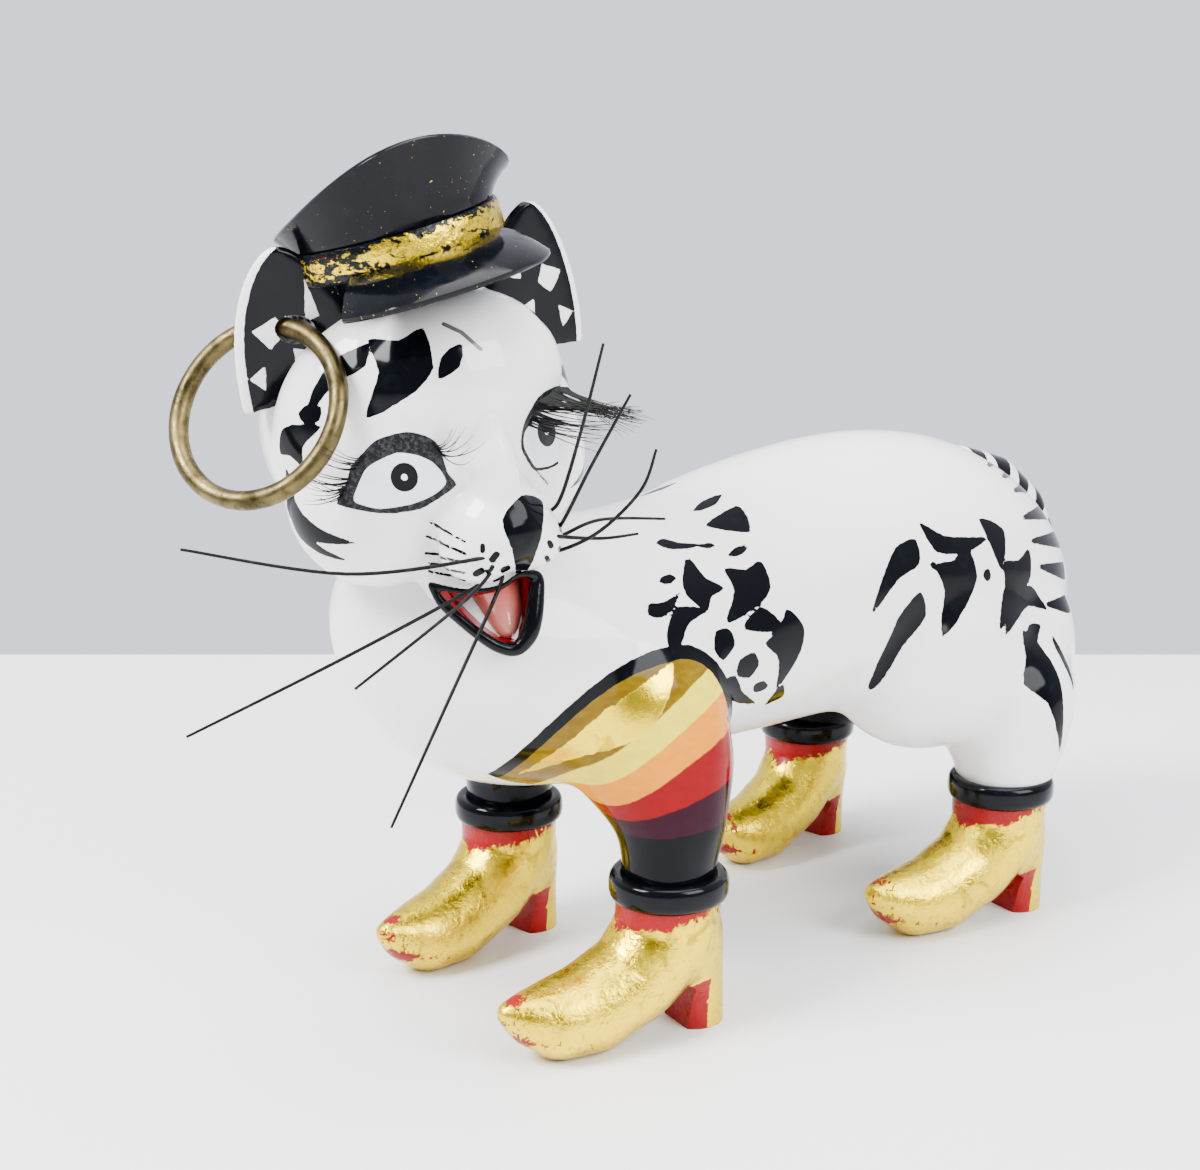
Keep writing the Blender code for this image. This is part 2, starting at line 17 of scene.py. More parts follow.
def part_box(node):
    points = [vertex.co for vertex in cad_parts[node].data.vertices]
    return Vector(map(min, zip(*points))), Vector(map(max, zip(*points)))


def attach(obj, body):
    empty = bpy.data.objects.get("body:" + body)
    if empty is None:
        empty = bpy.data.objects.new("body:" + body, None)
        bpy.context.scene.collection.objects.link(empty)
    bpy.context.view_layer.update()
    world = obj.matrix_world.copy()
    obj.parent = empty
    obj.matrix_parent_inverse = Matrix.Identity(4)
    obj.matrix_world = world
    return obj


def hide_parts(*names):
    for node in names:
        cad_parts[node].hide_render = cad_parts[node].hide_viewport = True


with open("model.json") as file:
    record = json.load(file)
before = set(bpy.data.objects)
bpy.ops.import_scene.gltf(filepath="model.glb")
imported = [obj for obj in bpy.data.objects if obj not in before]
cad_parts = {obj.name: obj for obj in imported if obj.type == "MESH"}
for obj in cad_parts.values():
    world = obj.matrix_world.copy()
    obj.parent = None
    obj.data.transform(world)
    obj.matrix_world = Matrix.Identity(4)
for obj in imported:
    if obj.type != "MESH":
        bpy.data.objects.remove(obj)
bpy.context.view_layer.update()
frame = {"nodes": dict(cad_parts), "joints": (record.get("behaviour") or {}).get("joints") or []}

bl_info = {
    "name": "Booted cat figurine",
    "version": (1, 0, 0),
    "blender": (4, 5, 0),
    "location": "3D View > Sidebar > Cat",
    "description": "Models and paints a carved cat in gilded boots",
    "category": "Object",
}

MM = 0.001
FIGURE = "figure"
EARRING = "earring"
# A stored distance that means no paint is near.
CLEAR = 9.0


# ---------------------------------------------------------------- places read from the frame


def middle(node):
    """The middle of a node's box, in metres."""
    low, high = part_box(node)
    return (low + high) / 2


def facing(origin, turn=0.0, nod=0.0, tilt=0.0):
    """A local frame in metres: +X forward, +Y left, +Z up. Turn is from -Y towards +X and nod is down."""
    return (
        Matrix.Translation(origin)
        @ Matrix.Rotation(turn - math.pi / 2, 4, "Z")
        @ Matrix.Rotation(nod, 4, "Y")
        @ Matrix.Rotation(tilt, 4, "X")
    )


FEET = ("left_front", "right_front", "left_rear", "right_rear")
SHAFTS = {name: middle(name + "_cuff") / MM for name in FEET}
BOOT_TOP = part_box("left_front_boot")[1].z / MM
SWING = frame["joints"][0]
HOOP_PIVOT = Vector(SWING["pos_m"]) / MM
HOOP_AXIS = Vector(SWING["axis"]).normalized()
# The model's front and rear boots are placed about this point, which the body is carved round.
CARVE = Vector((SHAFTS["left_front"].x - 18.5, SHAFTS["left_front"].y + 39.6, 0))
SHIFT = Matrix.Translation(CARVE * MM)
HEAD = facing((CARVE + Vector((1.1, -62.8, 79.4))) * MM, math.radians(79), math.radians(6.3), math.radians(9))
HEAD_INVERSE = HEAD.inverted()
CAP = (
    HEAD
    @ Matrix.Translation(Vector((-1.4, -2.2, 27.0)) * MM)
    @ Matrix.Rotation(math.radians(-7), 4, "Y")
    @ Matrix.Rotation(math.radians(7), 4, "X")
    @ Matrix.Scale(1.06, 4)
)


# ---------------------------------------------------------------- sizes and colours a user may change


class CatSizes(bpy.types.PropertyGroup):
    """How finely the carving is made and how the leaf has worn."""

    body_grain: bpy.props.FloatProperty(
        name="Body grain", description="Size of a facet of the body's skin",
        default=0.62 * MM, min=0.4 * MM, max=2 * MM, unit="LENGTH", precision=5,
    )
    head_grain: bpy.props.FloatProperty(
        name="Head grain", description="Size of a facet of the head's skin",
        default=0.38 * MM, min=0.25 * MM, max=2 * MM, unit="LENGTH", precision=5,
    )
    boot_grain: bpy.props.FloatProperty(
        name="Boot grain", description="Size of a facet of a boot's skin",
        default=0.42 * MM, min=0.25 * MM, max=2 * MM, unit="LENGTH", precision=5,
    )
    leaf_wear: bpy.props.FloatProperty(
        name="Leaf wear", description="How much of the gold leaf has worn off",
        default=0.5, min=0.0, max=1.0, subtype="FACTOR",
    )
    hoop_wire: bpy.props.FloatProperty(
        name="Hoop wire", description="Radius of the earring's wire",
        default=1.15 * MM, min=0.5 * MM, max=2 * MM, unit="LENGTH", precision=5,
    )
    whisker_radius: bpy.props.FloatProperty(
        name="Whisker radius", description="Radius of a whisker at its root",
        default=0.26 * MM, min=0.1 * MM, max=0.5 * MM, unit="LENGTH", precision=5,
    )


def colour_property(name, words, rgb):
    """A colour a user can change."""
    return bpy.props.FloatVectorProperty(
        name=name, description=words, default=(*rgb, 1.0), size=4, min=0, max=1, subtype="COLOR"
    )


class CatColours(bpy.types.PropertyGroup):
    """The paints, the leaf and the metal."""

    white: colour_property("White lacquer", "Ground of the body and head", (0.80, 0.80, 0.80))
    black: colour_property("Black lacquer", "Patches, ears, cap and cuffs", (0.0012, 0.0017, 0.0028))
    leaf: colour_property("Gold leaf", "Boots and cap band", (0.82, 0.57, 0.004))
    bole: colour_property("Red under the leaf", "Lacquer that the leaf was laid on", (0.25, 0.0008, 0.003))
    brass: colour_property("Old brass", "The hoop earring", (0.105, 0.082, 0.034))
    mouth: colour_property("Mouth red", "Inside of the mouth", (0.27, 0.0006, 0.004))
    tongue: colour_property("Tongue", "The tongue", (0.56, 0.135, 0.105))
    lid: colour_property("Eyelid", "Upper eyelid", (0.004, 0.0045, 0.0065))


# ---------------------------------------------------------------- modelling helpers


def only(obj):
    """Selects obj alone and makes it the active one."""
    bpy.ops.object.select_all(action="DESELECT")
    obj.select_set(True)
    bpy.context.view_layer.objects.active = obj


def start_clay(name):
    """An empty mesh, open for adding shapes to."""
    bpy.ops.object.select_all(action="DESELECT")
    bpy.ops.object.add(type="MESH", location=(0, 0, 0))
    obj = bpy.context.object
    obj.name = obj.data.name = name
    bpy.ops.object.mode_set(mode="EDIT")
    return obj


def ball(centre, radii, detail=4, turn=(0, 0, 0)):
    """Adds an ellipsoid to the clay that is open."""
    bpy.ops.mesh.primitive_ico_sphere_add(
        subdivisions=detail, radius=MM, location=Vector(centre) * MM, rotation=turn, scale=radii
    )


def limb(joints, step=1.4):
    """Adds a row of balls through joints, each (x, y, z, radius)."""
    for (*a, ra), (*b, rb) in zip(joints, joints[1:]):
        start, end = Vector(a), Vector(b)
        count = max(1, round((end - start).length / step))
        for i in range(count + 1):
            radius = ra + (rb - ra) * i / count
            ball(start.lerp(end, i / count), (radius,) * 3, detail=3)


def close_clay():
    """Leaves edit mode."""
    bpy.ops.object.mode_set(mode="OBJECT")


def apply(obj, kind, **settings):
    """Adds a modifier and makes it part of the mesh."""
    only(obj)
    made = obj.modifiers.new(kind.lower(), kind)
    for key, value in settings.items():
        setattr(made, key, value)
    bpy.ops.object.modifier_apply(modifier=made.name)
    return obj


def melt(obj, grain, blend):
    """Makes overlapping shapes one even skin whose creases are rounded over the width blend."""
    apply(obj, "REMESH", mode="VOXEL", voxel_size=grain)
    apply(obj, "SMOOTH", factor=0.5, iterations=max(1, round((2 * blend / grain) ** 2)))
    return obj


def smooth(obj, angle=40):
    """Shades the mesh smooth but for its sharp edges."""
    only(obj)
    bpy.ops.object.shade_smooth_by_angle(angle=math.radians(angle))
    return obj


def place(obj, matrix):
    """Moves the mesh itself, so that the object stays at the origin."""
    only(obj)
    obj.matrix_world = matrix
    bpy.ops.object.transform_apply(location=True, rotation=True, scale=True)
    return obj


def cut(obj, tool, operation="DIFFERENCE", keep_tool=False):
    """Cuts obj with a closed tool."""
    apply(obj, "BOOLEAN", operation=operation, solver="EXACT", object=tool)
    if not keep_tool:
        bpy.data.objects.remove(tool)
    return obj


def duplicate(obj, name):
    """A copy with its own mesh."""
    only(obj)
    bpy.ops.object.duplicate(linked=False)
    made = bpy.context.object
    made.name = made.data.name = name
    return made


def outward(obj):
    """Points every face outwards."""
    only(obj)
    bpy.ops.object.mode_set(mode="EDIT")
    bpy.ops.mesh.select_all(action="SELECT")
    bpy.ops.mesh.remove_doubles(threshold=0.00001)
    bpy.ops.mesh.normals_make_consistent(inside=False)
    close_clay()
    return obj


def ring_of(points):
    """Adds one closed ring of points, in millimetres, to the clay that is open, left selected."""
    bpy.ops.mesh.primitive_circle_add(vertices=len(points), radius=MM, fill_type="NOTHING")
    mesh = bpy.context.edit_object.data
    bpy.ops.object.mode_set(mode="OBJECT")
    for vertex, p in zip(list(mesh.vertices)[-len(points):], points):
        vertex.co = Vector(p) * MM
    bpy.ops.object.mode_set(mode="EDIT")


def skinned(name, rings, closed=False):
    """A skin bridged through rings of points, filled at both ends or closed on itself."""
    obj = start_clay(name)
    for ring in rings:
        ring_of(ring)
    count = len(rings[0])
    mesh = obj.data
    last = len(rings) if closed else len(rings) - 1
    for k in range(last):
        bpy.ops.mesh.select_all(action="DESELECT")
        bpy.ops.object.mode_set(mode="OBJECT")
        pair = (k, (k + 1) % len(rings))
        for edge in mesh.edges:
            a, b = (v // count for v in edge.vertices)
            edge.select = a == b and a in pair
        bpy.ops.object.mode_set(mode="EDIT")
        bpy.ops.mesh.bridge_edge_loops()
    if not closed:
        bpy.ops.mesh.select_all(action="SELECT")
        bpy.ops.mesh.fill_holes(sides=0)
    close_clay()
    return outward(obj)


def prism(name, outline, low, high, axis=0):
    """A closed prism. The outline's two numbers are the other two axes, in order."""
    rings = []
    for depth in (low, high):
        rings.append([(*p[:axis], depth, *p[axis:]) for p in outline])
    return skinned(name, rings)


def round_angles(count):
    """Even steps once round a circle, in radians."""
    return [2 * math.pi * i / count for i in range(count)]


def catmull(rows, steps):
    """Smooth rows of numbers through the given rows."""
    rows = [np.array(r, float) for r in rows]
    result, last = [], len(rows) - 1
    for i in range(last):
        before, start, end, after = rows[max(0, i - 1)], rows[i], rows[i + 1], rows[min(last, i + 2)]
        for k in range(steps):
            t = k / steps
            result.append(0.5 * (
                2 * start + (end - before) * t + (2 * before - 5 * start + 4 * end - after) * t**2
                + (3 * start - before - 3 * end + after) * t**3
            ))
    return result + [rows[-1]]


def wire(name, routes, sides=3):
    """Round bristles. Each route is a list of (point in metres, radius in metres)."""
    curve = bpy.data.curves.new(name, "CURVE")
    curve.dimensions = "3D"
    curve.bevel_depth = 1
    curve.bevel_resolution = sides
    curve.use_fill_caps = True
    for route in routes:
        spline = curve.splines.new("POLY")
        spline.points.add(len(route) - 1)
        for slot, (point, radius) in zip(spline.points, route):
            slot.co = (*point, 1)
            slot.radius = radius
    obj = bpy.data.objects.new(name, curve)
    bpy.context.scene.collection.objects.link(obj)
    only(obj)
    bpy.ops.object.convert(target="MESH")
    return smooth(bpy.context.object, 60)


def finish_piece(obj, body, slot, paint, *nodes):
    """Gives a piece its finish, its body and the nodes it stands for. Its slot is not used."""
    obj.data.materials.clear()
    obj.data.materials.append(paint)
    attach(obj, body)
    if nodes:
        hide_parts(*nodes)
    return obj


# ---------------------------------------------------------------- painted outlines as distances on the mesh


def points_of(obj, inverse=None):
    """The mesh's points as rows of millimetres, in a local frame if one is given."""
    co = np.zeros(len(obj.data.vertices) * 3)
    obj.data.vertices.foreach_get("co", co)
    co = co.reshape(-1, 3)
    if inverse is not None:
        turn = np.array(inverse.to_3x3())
        co = co @ turn.T + np.array(inverse.translation)
    return co / MM


def store(obj, name, values):
    """Keeps one number for each point of the mesh, for a finish to read."""
    layer = obj.data.attributes.get(name) or obj.data.attributes.new(name, "FLOAT", "POINT")
    layer.data.foreach_set("value", np.clip(values, -CLEAR, CLEAR).astype(np.float32))


def curved(outline, steps=4):
    """The same outline drawn with a brush: smooth between its points, still sharp at narrow tips."""
    points = [np.array(p, float) for p in outline]
    result = []
    for i, start in enumerate(points):
        before, end, after = points[i - 1], points[(i + 1) % len(points)], points[(i + 2) % len(points)]
        for k in range(steps):
            t = k / steps
            result.append(start + (end - start) * t + 0.32 * t * (1 - t) * (
                (end - before) * (1 - t) - (after - start) * t - (end - start) * (1 - 2 * t)
            ))
    return result


def inside_outline(flat, outline):
    """Distance from each flat point to an outline, below zero inside it."""
    corners = np.array(outline, float)
    best = np.full(len(flat), 1e9)
    within = np.zeros(len(flat), bool)
    for a, b in zip(corners, np.roll(corners, -1, axis=0)):
        along, start = b - a, flat - a
        share = np.clip(start @ along / max(along @ along, 1e-9), 0, 1)
        best = np.minimum(best, np.linalg.norm(start - share[:, None] * along, axis=1))
        crossing = (a[1] > flat[:, 1]) != (b[1] > flat[:, 1])
        rise = b[1] - a[1] if abs(b[1] - a[1]) > 1e-9 else 1e-9
        within ^= crossing & (flat[:, 0] < a[0] + along[0] * (flat[:, 1] - a[1]) / rise)
    return np.where(within, -best, best)


def in_oval(flat, centre, radii):
    """Rough distance from each flat point to an oval, below zero inside it."""
    scaled = (flat - np.array(centre)) / np.array(radii)
    return (np.linalg.norm(scaled, axis=1) - 1) * min(radii)


def near_stroke(co, route, radius):
    """Distance from each point to a brush stroke along a route of points."""
    best = np.full(len(co), 1e9)
    for a, b in zip(route, route[1:]):
        a, b = np.array(a, float), np.array(b, float)
        share = np.clip((co - a) @ (b - a) / max((b - a) @ (b - a), 1e-9), 0, 1)
        best = np.minimum(best, np.linalg.norm(co - a - share[:, None] * (b - a), axis=1))
    return best - radius


# ---------------------------------------------------------------- finishes


class Flow:
    """A shader socket that can be used in sums; each sum adds its own Math node."""

    def __init__(self, nodes, socket):
        self.nodes, self.socket = nodes, socket

    def sum_with(self, operation, first, second):
        return self.nodes.node("ShaderNodeMath", {"operation": operation}, {0: first, 1: second})

    def __add__(self, other):
        return self.sum_with("ADD", self, other)

    def __radd__(self, other):
        return self.sum_with("ADD", other, self)

    def __sub__(self, other):
        return self.sum_with("SUBTRACT", self, other)

    def __rsub__(self, other):
        return self.sum_with("SUBTRACT", other, self)

    def __mul__(self, other):
        return self.sum_with("MULTIPLY", self, other)

    def __rmul__(self, other):
        return self.sum_with("MULTIPLY", other, self)


class Nodes:
    """A node tree, and one way of adding a node to it."""

    def __init__(self, tree):
        self.tree = tree

    def link(self, value, socket):
        """Feeds a socket from another node or with a plain value."""
        if isinstance(value, Flow):
            self.tree.links.new(value.socket, socket)
        else:
            socket.default_value = value

    def node(self, kind, settings, sockets, out=0):
        """Adds a node with its settings and the values or links of its sockets."""
        made = self.tree.nodes.new(kind)
        for key, value in settings.items():
            setattr(made, key, value)
        for key, value in sockets.items():
            self.link(value, made.inputs[key])
        return Flow(self, made.outputs[out])

    def blend(self, share, first, second):
        """Mixes two colours."""
        return self.node("ShaderNodeMix", {"data_type": "RGBA"}, {0: share, 6: first, 7: second}, 2)


class Finish(Nodes):
    """One procedural finish: a Principled shader and the nodes that feed it."""

    def __init__(self, name):
        self.paint = bpy.data.materials.new(name)
        self.paint.use_nodes = True
        super().__init__(self.paint.node_tree)
        self.shader = self.tree.nodes["Principled BSDF"]
        self.place = self.node("ShaderNodeTexCoord", {}, {}, "Object")

    def noise(self, size, detail=3.0, roughness=0.5, stretch=(1, 1, 1), twist=0.0, offset=(0, 0, 0)):
        """Soft noise with features of a size in millimetres, from 0 to 1."""
        mapping = {"Vector": self.place, "Scale": stretch, "Location": offset}
        where = self.node("ShaderNodeMapping", {}, mapping)
        sockets = {
            "Vector": where, "Scale": 1 / (size * MM), "Detail": detail, "Roughness": roughness,
            "Distortion": twist,
        }
        return self.node("ShaderNodeTexNoise", {}, sockets, "Fac")

    def stored(self, name):
        """A number kept on the mesh."""
        return self.node("ShaderNodeAttribute", {"attribute_name": name}, {}, "Fac")

    def fade(self, value, start, end, low=0.0, high=1.0):
        """Goes from low at start to high at end, without a corner."""
        sockets = {"Value": value, "From Min": start, "From Max": end, "To Min": low, "To Max": high}
        return self.node("ShaderNodeMapRange", {"interpolation_type": "SMOOTHSTEP"}, sockets)

    def highest(self, *values):
        """The highest of some values at each point."""
        best = values[0]
        for value in values[1:]:
            best = self.node("ShaderNodeMath", {"operation": "MAXIMUM"}, {0: best, 1: value})
        return best

    def raise_by(self, height, depth, under=None):
        """A bump whose height of 1 stands depth millimetres proud."""
        sockets = {"Height": height, "Distance": depth * MM, "Strength": 1.0}
        if under is not None:
            sockets["Normal"] = under
        return self.node("ShaderNodeBump", {}, sockets, "Normal")

    def done(self, **sockets):
        """Feeds the shader's sockets; an underscore stands for a space."""
        for key, value in sockets.items():
            self.link(value, self.shader.inputs[key.replace("_", " ")])
        return self.paint


def grey(value):
    """An even grey."""
    return (value, value, value, 1)


def colours():
    """The colours in the panel."""
    return bpy.context.scene.cat_colours


def sizes():
    """The sizes in the panel."""
    return bpy.context.scene.cat_sizes


# What every lacquer has in common.
LACQUER = {"Coat_Roughness": 0.03, "Specular_IOR_Level": 0.1}
# The stocking's stripes from its top to its foot.
STRIPE_PAINTS = [
    (0.13, 0.075, 0.002), (0.78, 0.62, 0.03), (0.70, 0.23, 0.003), (0.20, 0.0004, 0.003),
    (0.022, 0.0016, 0.008), (0.0012, 0.0017, 0.0028),
]


def hand_of(f, depth=0.02):
    """The faint waves that a brush and many coats leave in lacquer."""
    return f.raise_by(f.noise(9, 2) + f.noise(2.2, 3) * 0.12, depth * 6)


def white_paint(f):
    """White lacquer, a little warmer and duller in places."""
    tone = colours().white
    warm = (tone[0] * 0.985, tone[1] * 0.965, tone[2] * 0.93, 1)
    return f.blend(f.noise(14, 4, 0.6) * 0.55, tuple(tone), warm)


def black_paint(f):
    """Black lacquer with a cold cast where it lies thin."""
    tone = colours().black
    thin = (tone[0] * 4, tone[1] * 4.4, tone[2] * 4, 1)
    return f.blend(f.fade(f.noise(3.2, 5, 0.65), 0.5, 0.8) * 0.6, tuple(tone), thin)


def edge_of(f, distance, wobble=0.16, soft=0.045):
    """1 inside a painted outline and 0 outside, with a hand-drawn edge."""
    shaken = distance + (f.noise(0.9, 3) - 0.5) * (2 * wobble)
    return f.fade(shaken, soft, -soft)


def leaf_over_red(f, wear):
    """Gold leaf worn through to red, by a wear from 0 to 1: its colour, metal, roughness and height. The colour
    holds painted shade in the leaf's creases and painted dark reflections.
    """
    c = colours()
    torn = f.noise(3.2, 7, 0.68, twist=0.6) * 0.75 + f.noise(0.7, 4, 0.6) * 0.25
    streak = f.noise(1.1, 5, 0.7, stretch=(1, 1, 0.5), twist=1.4)
    gone = f.fade(f.highest(torn, streak * 0.97) + wear, 0.722, 0.752)
    # The leaf's colour in painted shade and painted dark reflections.
    dark = (c.leaf[0] * 0.27, c.leaf[1] * 0.27, c.leaf[2] * 0.3, 1)
    pale = (min(1, c.leaf[0] * 1.06), min(1, c.leaf[1] * 1.12), c.leaf[2] * 3, 1)
    tint = f.blend(f.noise(6, 3), tuple(c.leaf), pale)
    # Painted shade darkens the leaf's fine creases.
    creases = f.fade(f.noise(0.55, 6, 0.62, twist=1.2), 0.56, 0.74)
    tint = f.blend(creases * 0.7, tint, dark)
    # Broad patches of painted dark reflection on the leaf.
    tint = f.blend(f.fade(f.noise(3.4, 5, 0.6, twist=0.9), 0.53, 0.7) * 0.6, tint, dark)
    colour = f.blend(gone, tint, tuple(c.bole))
    metal = f.fade(gone, 0, 1, 1, 0)
    rough = f.fade(f.noise(4, 4), 0.3, 0.75, 0.2, 0.36)
    height = (1 - gone) * 0.45 + f.noise(0.42, 4, 0.55) * 0.4 + f.noise(1.6, 4, 0.55, twist=1.5) * 0.9
    return colour, metal, rough, height


def stocking_colour(f):
    """The stripes, one below the other, with the marks of a dry brush."""
    rung = f.stored("rung") + (f.noise(3, 3) - 0.5) * 0.11
    brushed = f.fade(f.noise(2.4, 4, 0.6, stretch=(1, 1, 2.2)), 0.35, 0.7)
    colour = f.blend(brushed * 0.4, (*STRIPE_PAINTS[0], 1), (0.26, 0.17, 0.006, 1))
    for k, stripe in enumerate(STRIPE_PAINTS[1:], 1):
        shade = tuple(v * 0.8 for v in stripe)
        tone = f.blend(brushed * 0.55, (*stripe, 1), (*shade, 1))
        colour = f.blend(f.fade(rung, k - 0.03, k + 0.03), colour, tone)
    return colour


def skin_finish():
    """The body's paint: white, black strokes, the striped stocking and the dark legs, with painted highlights
    as grey spots on them.
    """
    f = Finish("painted_body")
    ink = edge_of(f, f.stored("ink"))
    stocking = edge_of(f, f.stored("hem"), 0.07)
    border = edge_of(f, f.stored("border"), 0.1)
    colour = stocking_colour(f)
    leaf_patch = f.fade(f.stored("leaf") + (f.noise(1.2, 5, 0.6) - 0.5) * 0.9, 0.08, -0.08)
    leaf_colour, _, _, leaf_height = leaf_over_red(f, 0.0)
    colour = f.blend(leaf_patch, colour, leaf_colour)
    dark = edge_of(f, f.stored("dark"), 0.12)
    # Painted highlights: grey spots on the black of the right legs.
    spots = edge_of(f, f.stored("spots"), 0.25)
    base = f.blend(ink, white_paint(f), black_paint(f))
    base = f.blend(dark, base, f.blend(spots, black_paint(f), grey(0.42)))
    base = f.blend(stocking, base, colour)
    base = f.blend(border, base, black_paint(f))
    open_leaf = leaf_patch * stocking * (1 - border)
    over_white = f.highest(ink, dark, stocking, border)
    bump = f.raise_by(over_white + open_leaf * (leaf_height * 0.6), 0.07, hand_of(f))
    return f.done(
        Base_Color=base, Metallic=open_leaf, Roughness=f.fade(open_leaf, 0, 1, 0.1, 0.26),
        Normal=bump, Coat_Weight=(1 - over_white) * 0.5, **LACQUER,
    )


def head_finish():
    """The head's paint: white, black patches, lids, eyes, nose and the red mouth."""
    f = Finish("painted_head")
    c = colours()
    ink = edge_of(f, f.stored("ink"), 0.13, 0.035)
    lid = edge_of(f, f.stored("lid"), 0.1, 0.035)
    eye = edge_of(f, f.stored("eye"), 0.05, 0.03)
    pupil = edge_of(f, f.stored("pupil"), 0.04, 0.03)
    glint = edge_of(f, f.stored("glint"), 0.02, 0.03)
    mouth = edge_of(f, f.stored("mouth"), 0.03, 0.04)
    line = edge_of(f, f.stored("line"), 0.05, 0.03)
    hairy = f.fade(f.noise(0.5, 4, 0.7), 0.45, 0.62)
    base = f.blend(ink, white_paint(f), black_paint(f))
    base = f.blend(line * 0.9, base, tuple(c.lid))
    base = f.blend(lid, base, f.blend(hairy, tuple(c.lid), grey(0.03)))
    base = f.blend(eye, base, f.blend(f.noise(3, 3) * 0.6, (0.84, 0.85, 0.86, 1), (0.70, 0.72, 0.76, 1)))
    base = f.blend(pupil, base, tuple(c.black))
    # A pale dot painted in each pupil as a highlight.
    base = f.blend(glint, base, grey(0.9))
    base = f.blend(mouth, base, f.blend(f.noise(3, 4) * 0.7, tuple(c.mouth), (0.12, 0.0004, 0.002, 1)))
    bump = f.raise_by(f.highest(ink, lid, pupil), 0.06, hand_of(f, 0.014))
    return f.done(
        Base_Color=base, Roughness=f.fade(lid, 0, 1, 0.11, 0.3), Normal=bump,
        Coat_Weight=(1 - f.highest(ink, lid, mouth, pupil)) * 0.5, **LACQUER,
    )


def tail_finish():
    """White with black wedges that narrow towards the body."""
    f = Finish("striped_tail")
    stripe = edge_of(f, f.stored("ink"), 0.12)
    base = f.blend(stripe, white_paint(f), black_paint(f))
    return f.done(
        Base_Color=base, Roughness=0.11, Normal=f.raise_by(stripe, 0.06, hand_of(f)),
        Coat_Weight=(1 - stripe) * 0.5, **LACQUER,
    )


def black_finish(name, flecks=0.0):
    """Black lacquer, with flecks of leaf and dust if wanted."""
    f = Finish(name)
    base = black_paint(f)
    rough = f.fade(f.noise(2.6, 4), 0.35, 0.75, 0.09, 0.24)
    if flecks:
        speck = f.fade(f.noise(0.36, 2, 0.5) * 0.8 + f.noise(3.5, 3) * 0.2, 0.70 - 0.02 * flecks, 0.72)
        worn = f.fade(f.noise(0.8, 5, 0.7), 0.70, 0.76)
        base = f.blend(speck, base, (0.36, 0.24, 0.03, 1))
        base = f.blend(worn * 0.7, base, grey(0.38))
    return f.done(
        Base_Color=base, Roughness=rough, Normal=hand_of(f, 0.03),
        Specular_IOR_Level=0.11, Coat_Weight=0.04, Coat_Roughness=0.04,
    )


def ear_finish():
    """Black in front with white gaps, white behind."""
    f = Finish("painted_ear")
    ink = edge_of(f, f.stored("ink"), 0.14, 0.04)
    base = f.blend(ink, white_paint(f), black_paint(f))
    return f.done(
        Base_Color=base, Roughness=0.12, Normal=f.raise_by(ink, 0.05, hand_of(f, 0.03)),
        Specular_IOR_Level=0.14,
    )


def leaf_finish(name, dark_ground=False):
    """Crinkled gold leaf, worn through where the mesh says."""
    f = Finish(name)
    wear = f.stored("wear") + (sizes().leaf_wear - 0.5) * 0.4
    colour, metal, rough, height = leaf_over_red(f, wear)
    if dark_ground:
        torn = f.noise(2.4, 6, 0.7, stretch=(1, 1, 2.5), twist=0.8) * 0.7 + f.noise(0.6, 4) * 0.3
        gone = f.fade(torn + wear, 0.57, 0.62)
        colour = f.blend(gone, colour, black_paint(f))
        metal = 1 - gone
        rough = f.fade(gone, 0, 1, 0.24, 0.14)
    return f.done(
        Base_Color=colour, Metallic=metal, Roughness=rough, Normal=f.raise_by(height, 0.17),
        Coat_Weight=0.05, Coat_Roughness=0.1, Specular_IOR_Level=0.15,
    )


def brass_finish():
    """Dull old brass with dark patches and rubbed bright ones."""
    f = Finish("old_brass")
    c = colours().brass
    dark = (c[0] * 0.3, c[1] * 0.3, c[2] * 0.28, 1)
    bright = (min(1, c[0] * 2.3), min(1, c[1] * 2.25), c[2] * 2.1, 1)
    base = f.blend(f.fade(f.noise(2.6, 6, 0.65), 0.42, 0.68), tuple(c), dark)
    base = f.blend(f.fade(f.noise(5, 3, 0.5, offset=(0.3, 0.1, 0)), 0.5, 0.75) * 0.7, base, bright)
    pits = f.fade(f.noise(0.35, 3, 0.6), 0.62, 0.72)
    base = f.blend(pits * 0.6, base, dark)
    rough = f.fade(f.noise(1.4, 5, 0.6), 0.3, 0.7, 0.3, 0.52)
    height = f.noise(0.5, 4, 0.6) * 0.5 - pits
    return f.done(Base_Color=base, Metallic=1.0, Roughness=rough, Normal=f.raise_by(height, 0.02))


def bristle_finish():
    """Black wire with thin spots in its paint."""
    f = Finish("painted_wire")
    base = f.blend(f.fade(f.noise(1.5, 4), 0.55, 0.7), grey(0.002), grey(0.012))
    grain = f.raise_by(f.noise(0.3, 2), 0.01)
    return f.done(Base_Color=base, Roughness=0.34, Specular_IOR_Level=0.12, Normal=grain)


def steel_finish():
    """Drawn steel."""
    f = Finish("drawn_steel")
    base = f.blend(f.noise(1.2, 4), (0.50, 0.50, 0.52, 1), (0.30, 0.30, 0.32, 1))
    rough = f.fade(f.noise(0.5, 3), 0.3, 0.7, 0.28, 0.42)
    return f.done(Base_Color=base, Metallic=1.0, Roughness=rough, Normal=f.raise_by(f.noise(0.3, 2), 0.01))


def tongue_finish():
    """Pink, paler towards its tip."""
    f = Finish("painted_tongue")
    c = colours().tongue
    pale = (min(1, c[0] * 1.05), min(1, c[1] * 1.6), min(1, c[2] * 1.7), 1)
    deep = (c[0] * 0.75, c[1] * 0.5, c[2] * 0.5, 1)
    base = f.blend(f.fade(f.stored("tip"), 0, 1), deep, pale)
    base = f.blend(f.noise(2, 4) * 0.3, base, tuple(c))
    return f.done(Base_Color=base, Roughness=0.16, Normal=hand_of(f), Coat_Weight=0.5, Coat_Roughness=0.05)


# ---------------------------------------------------------------- body, legs and tail

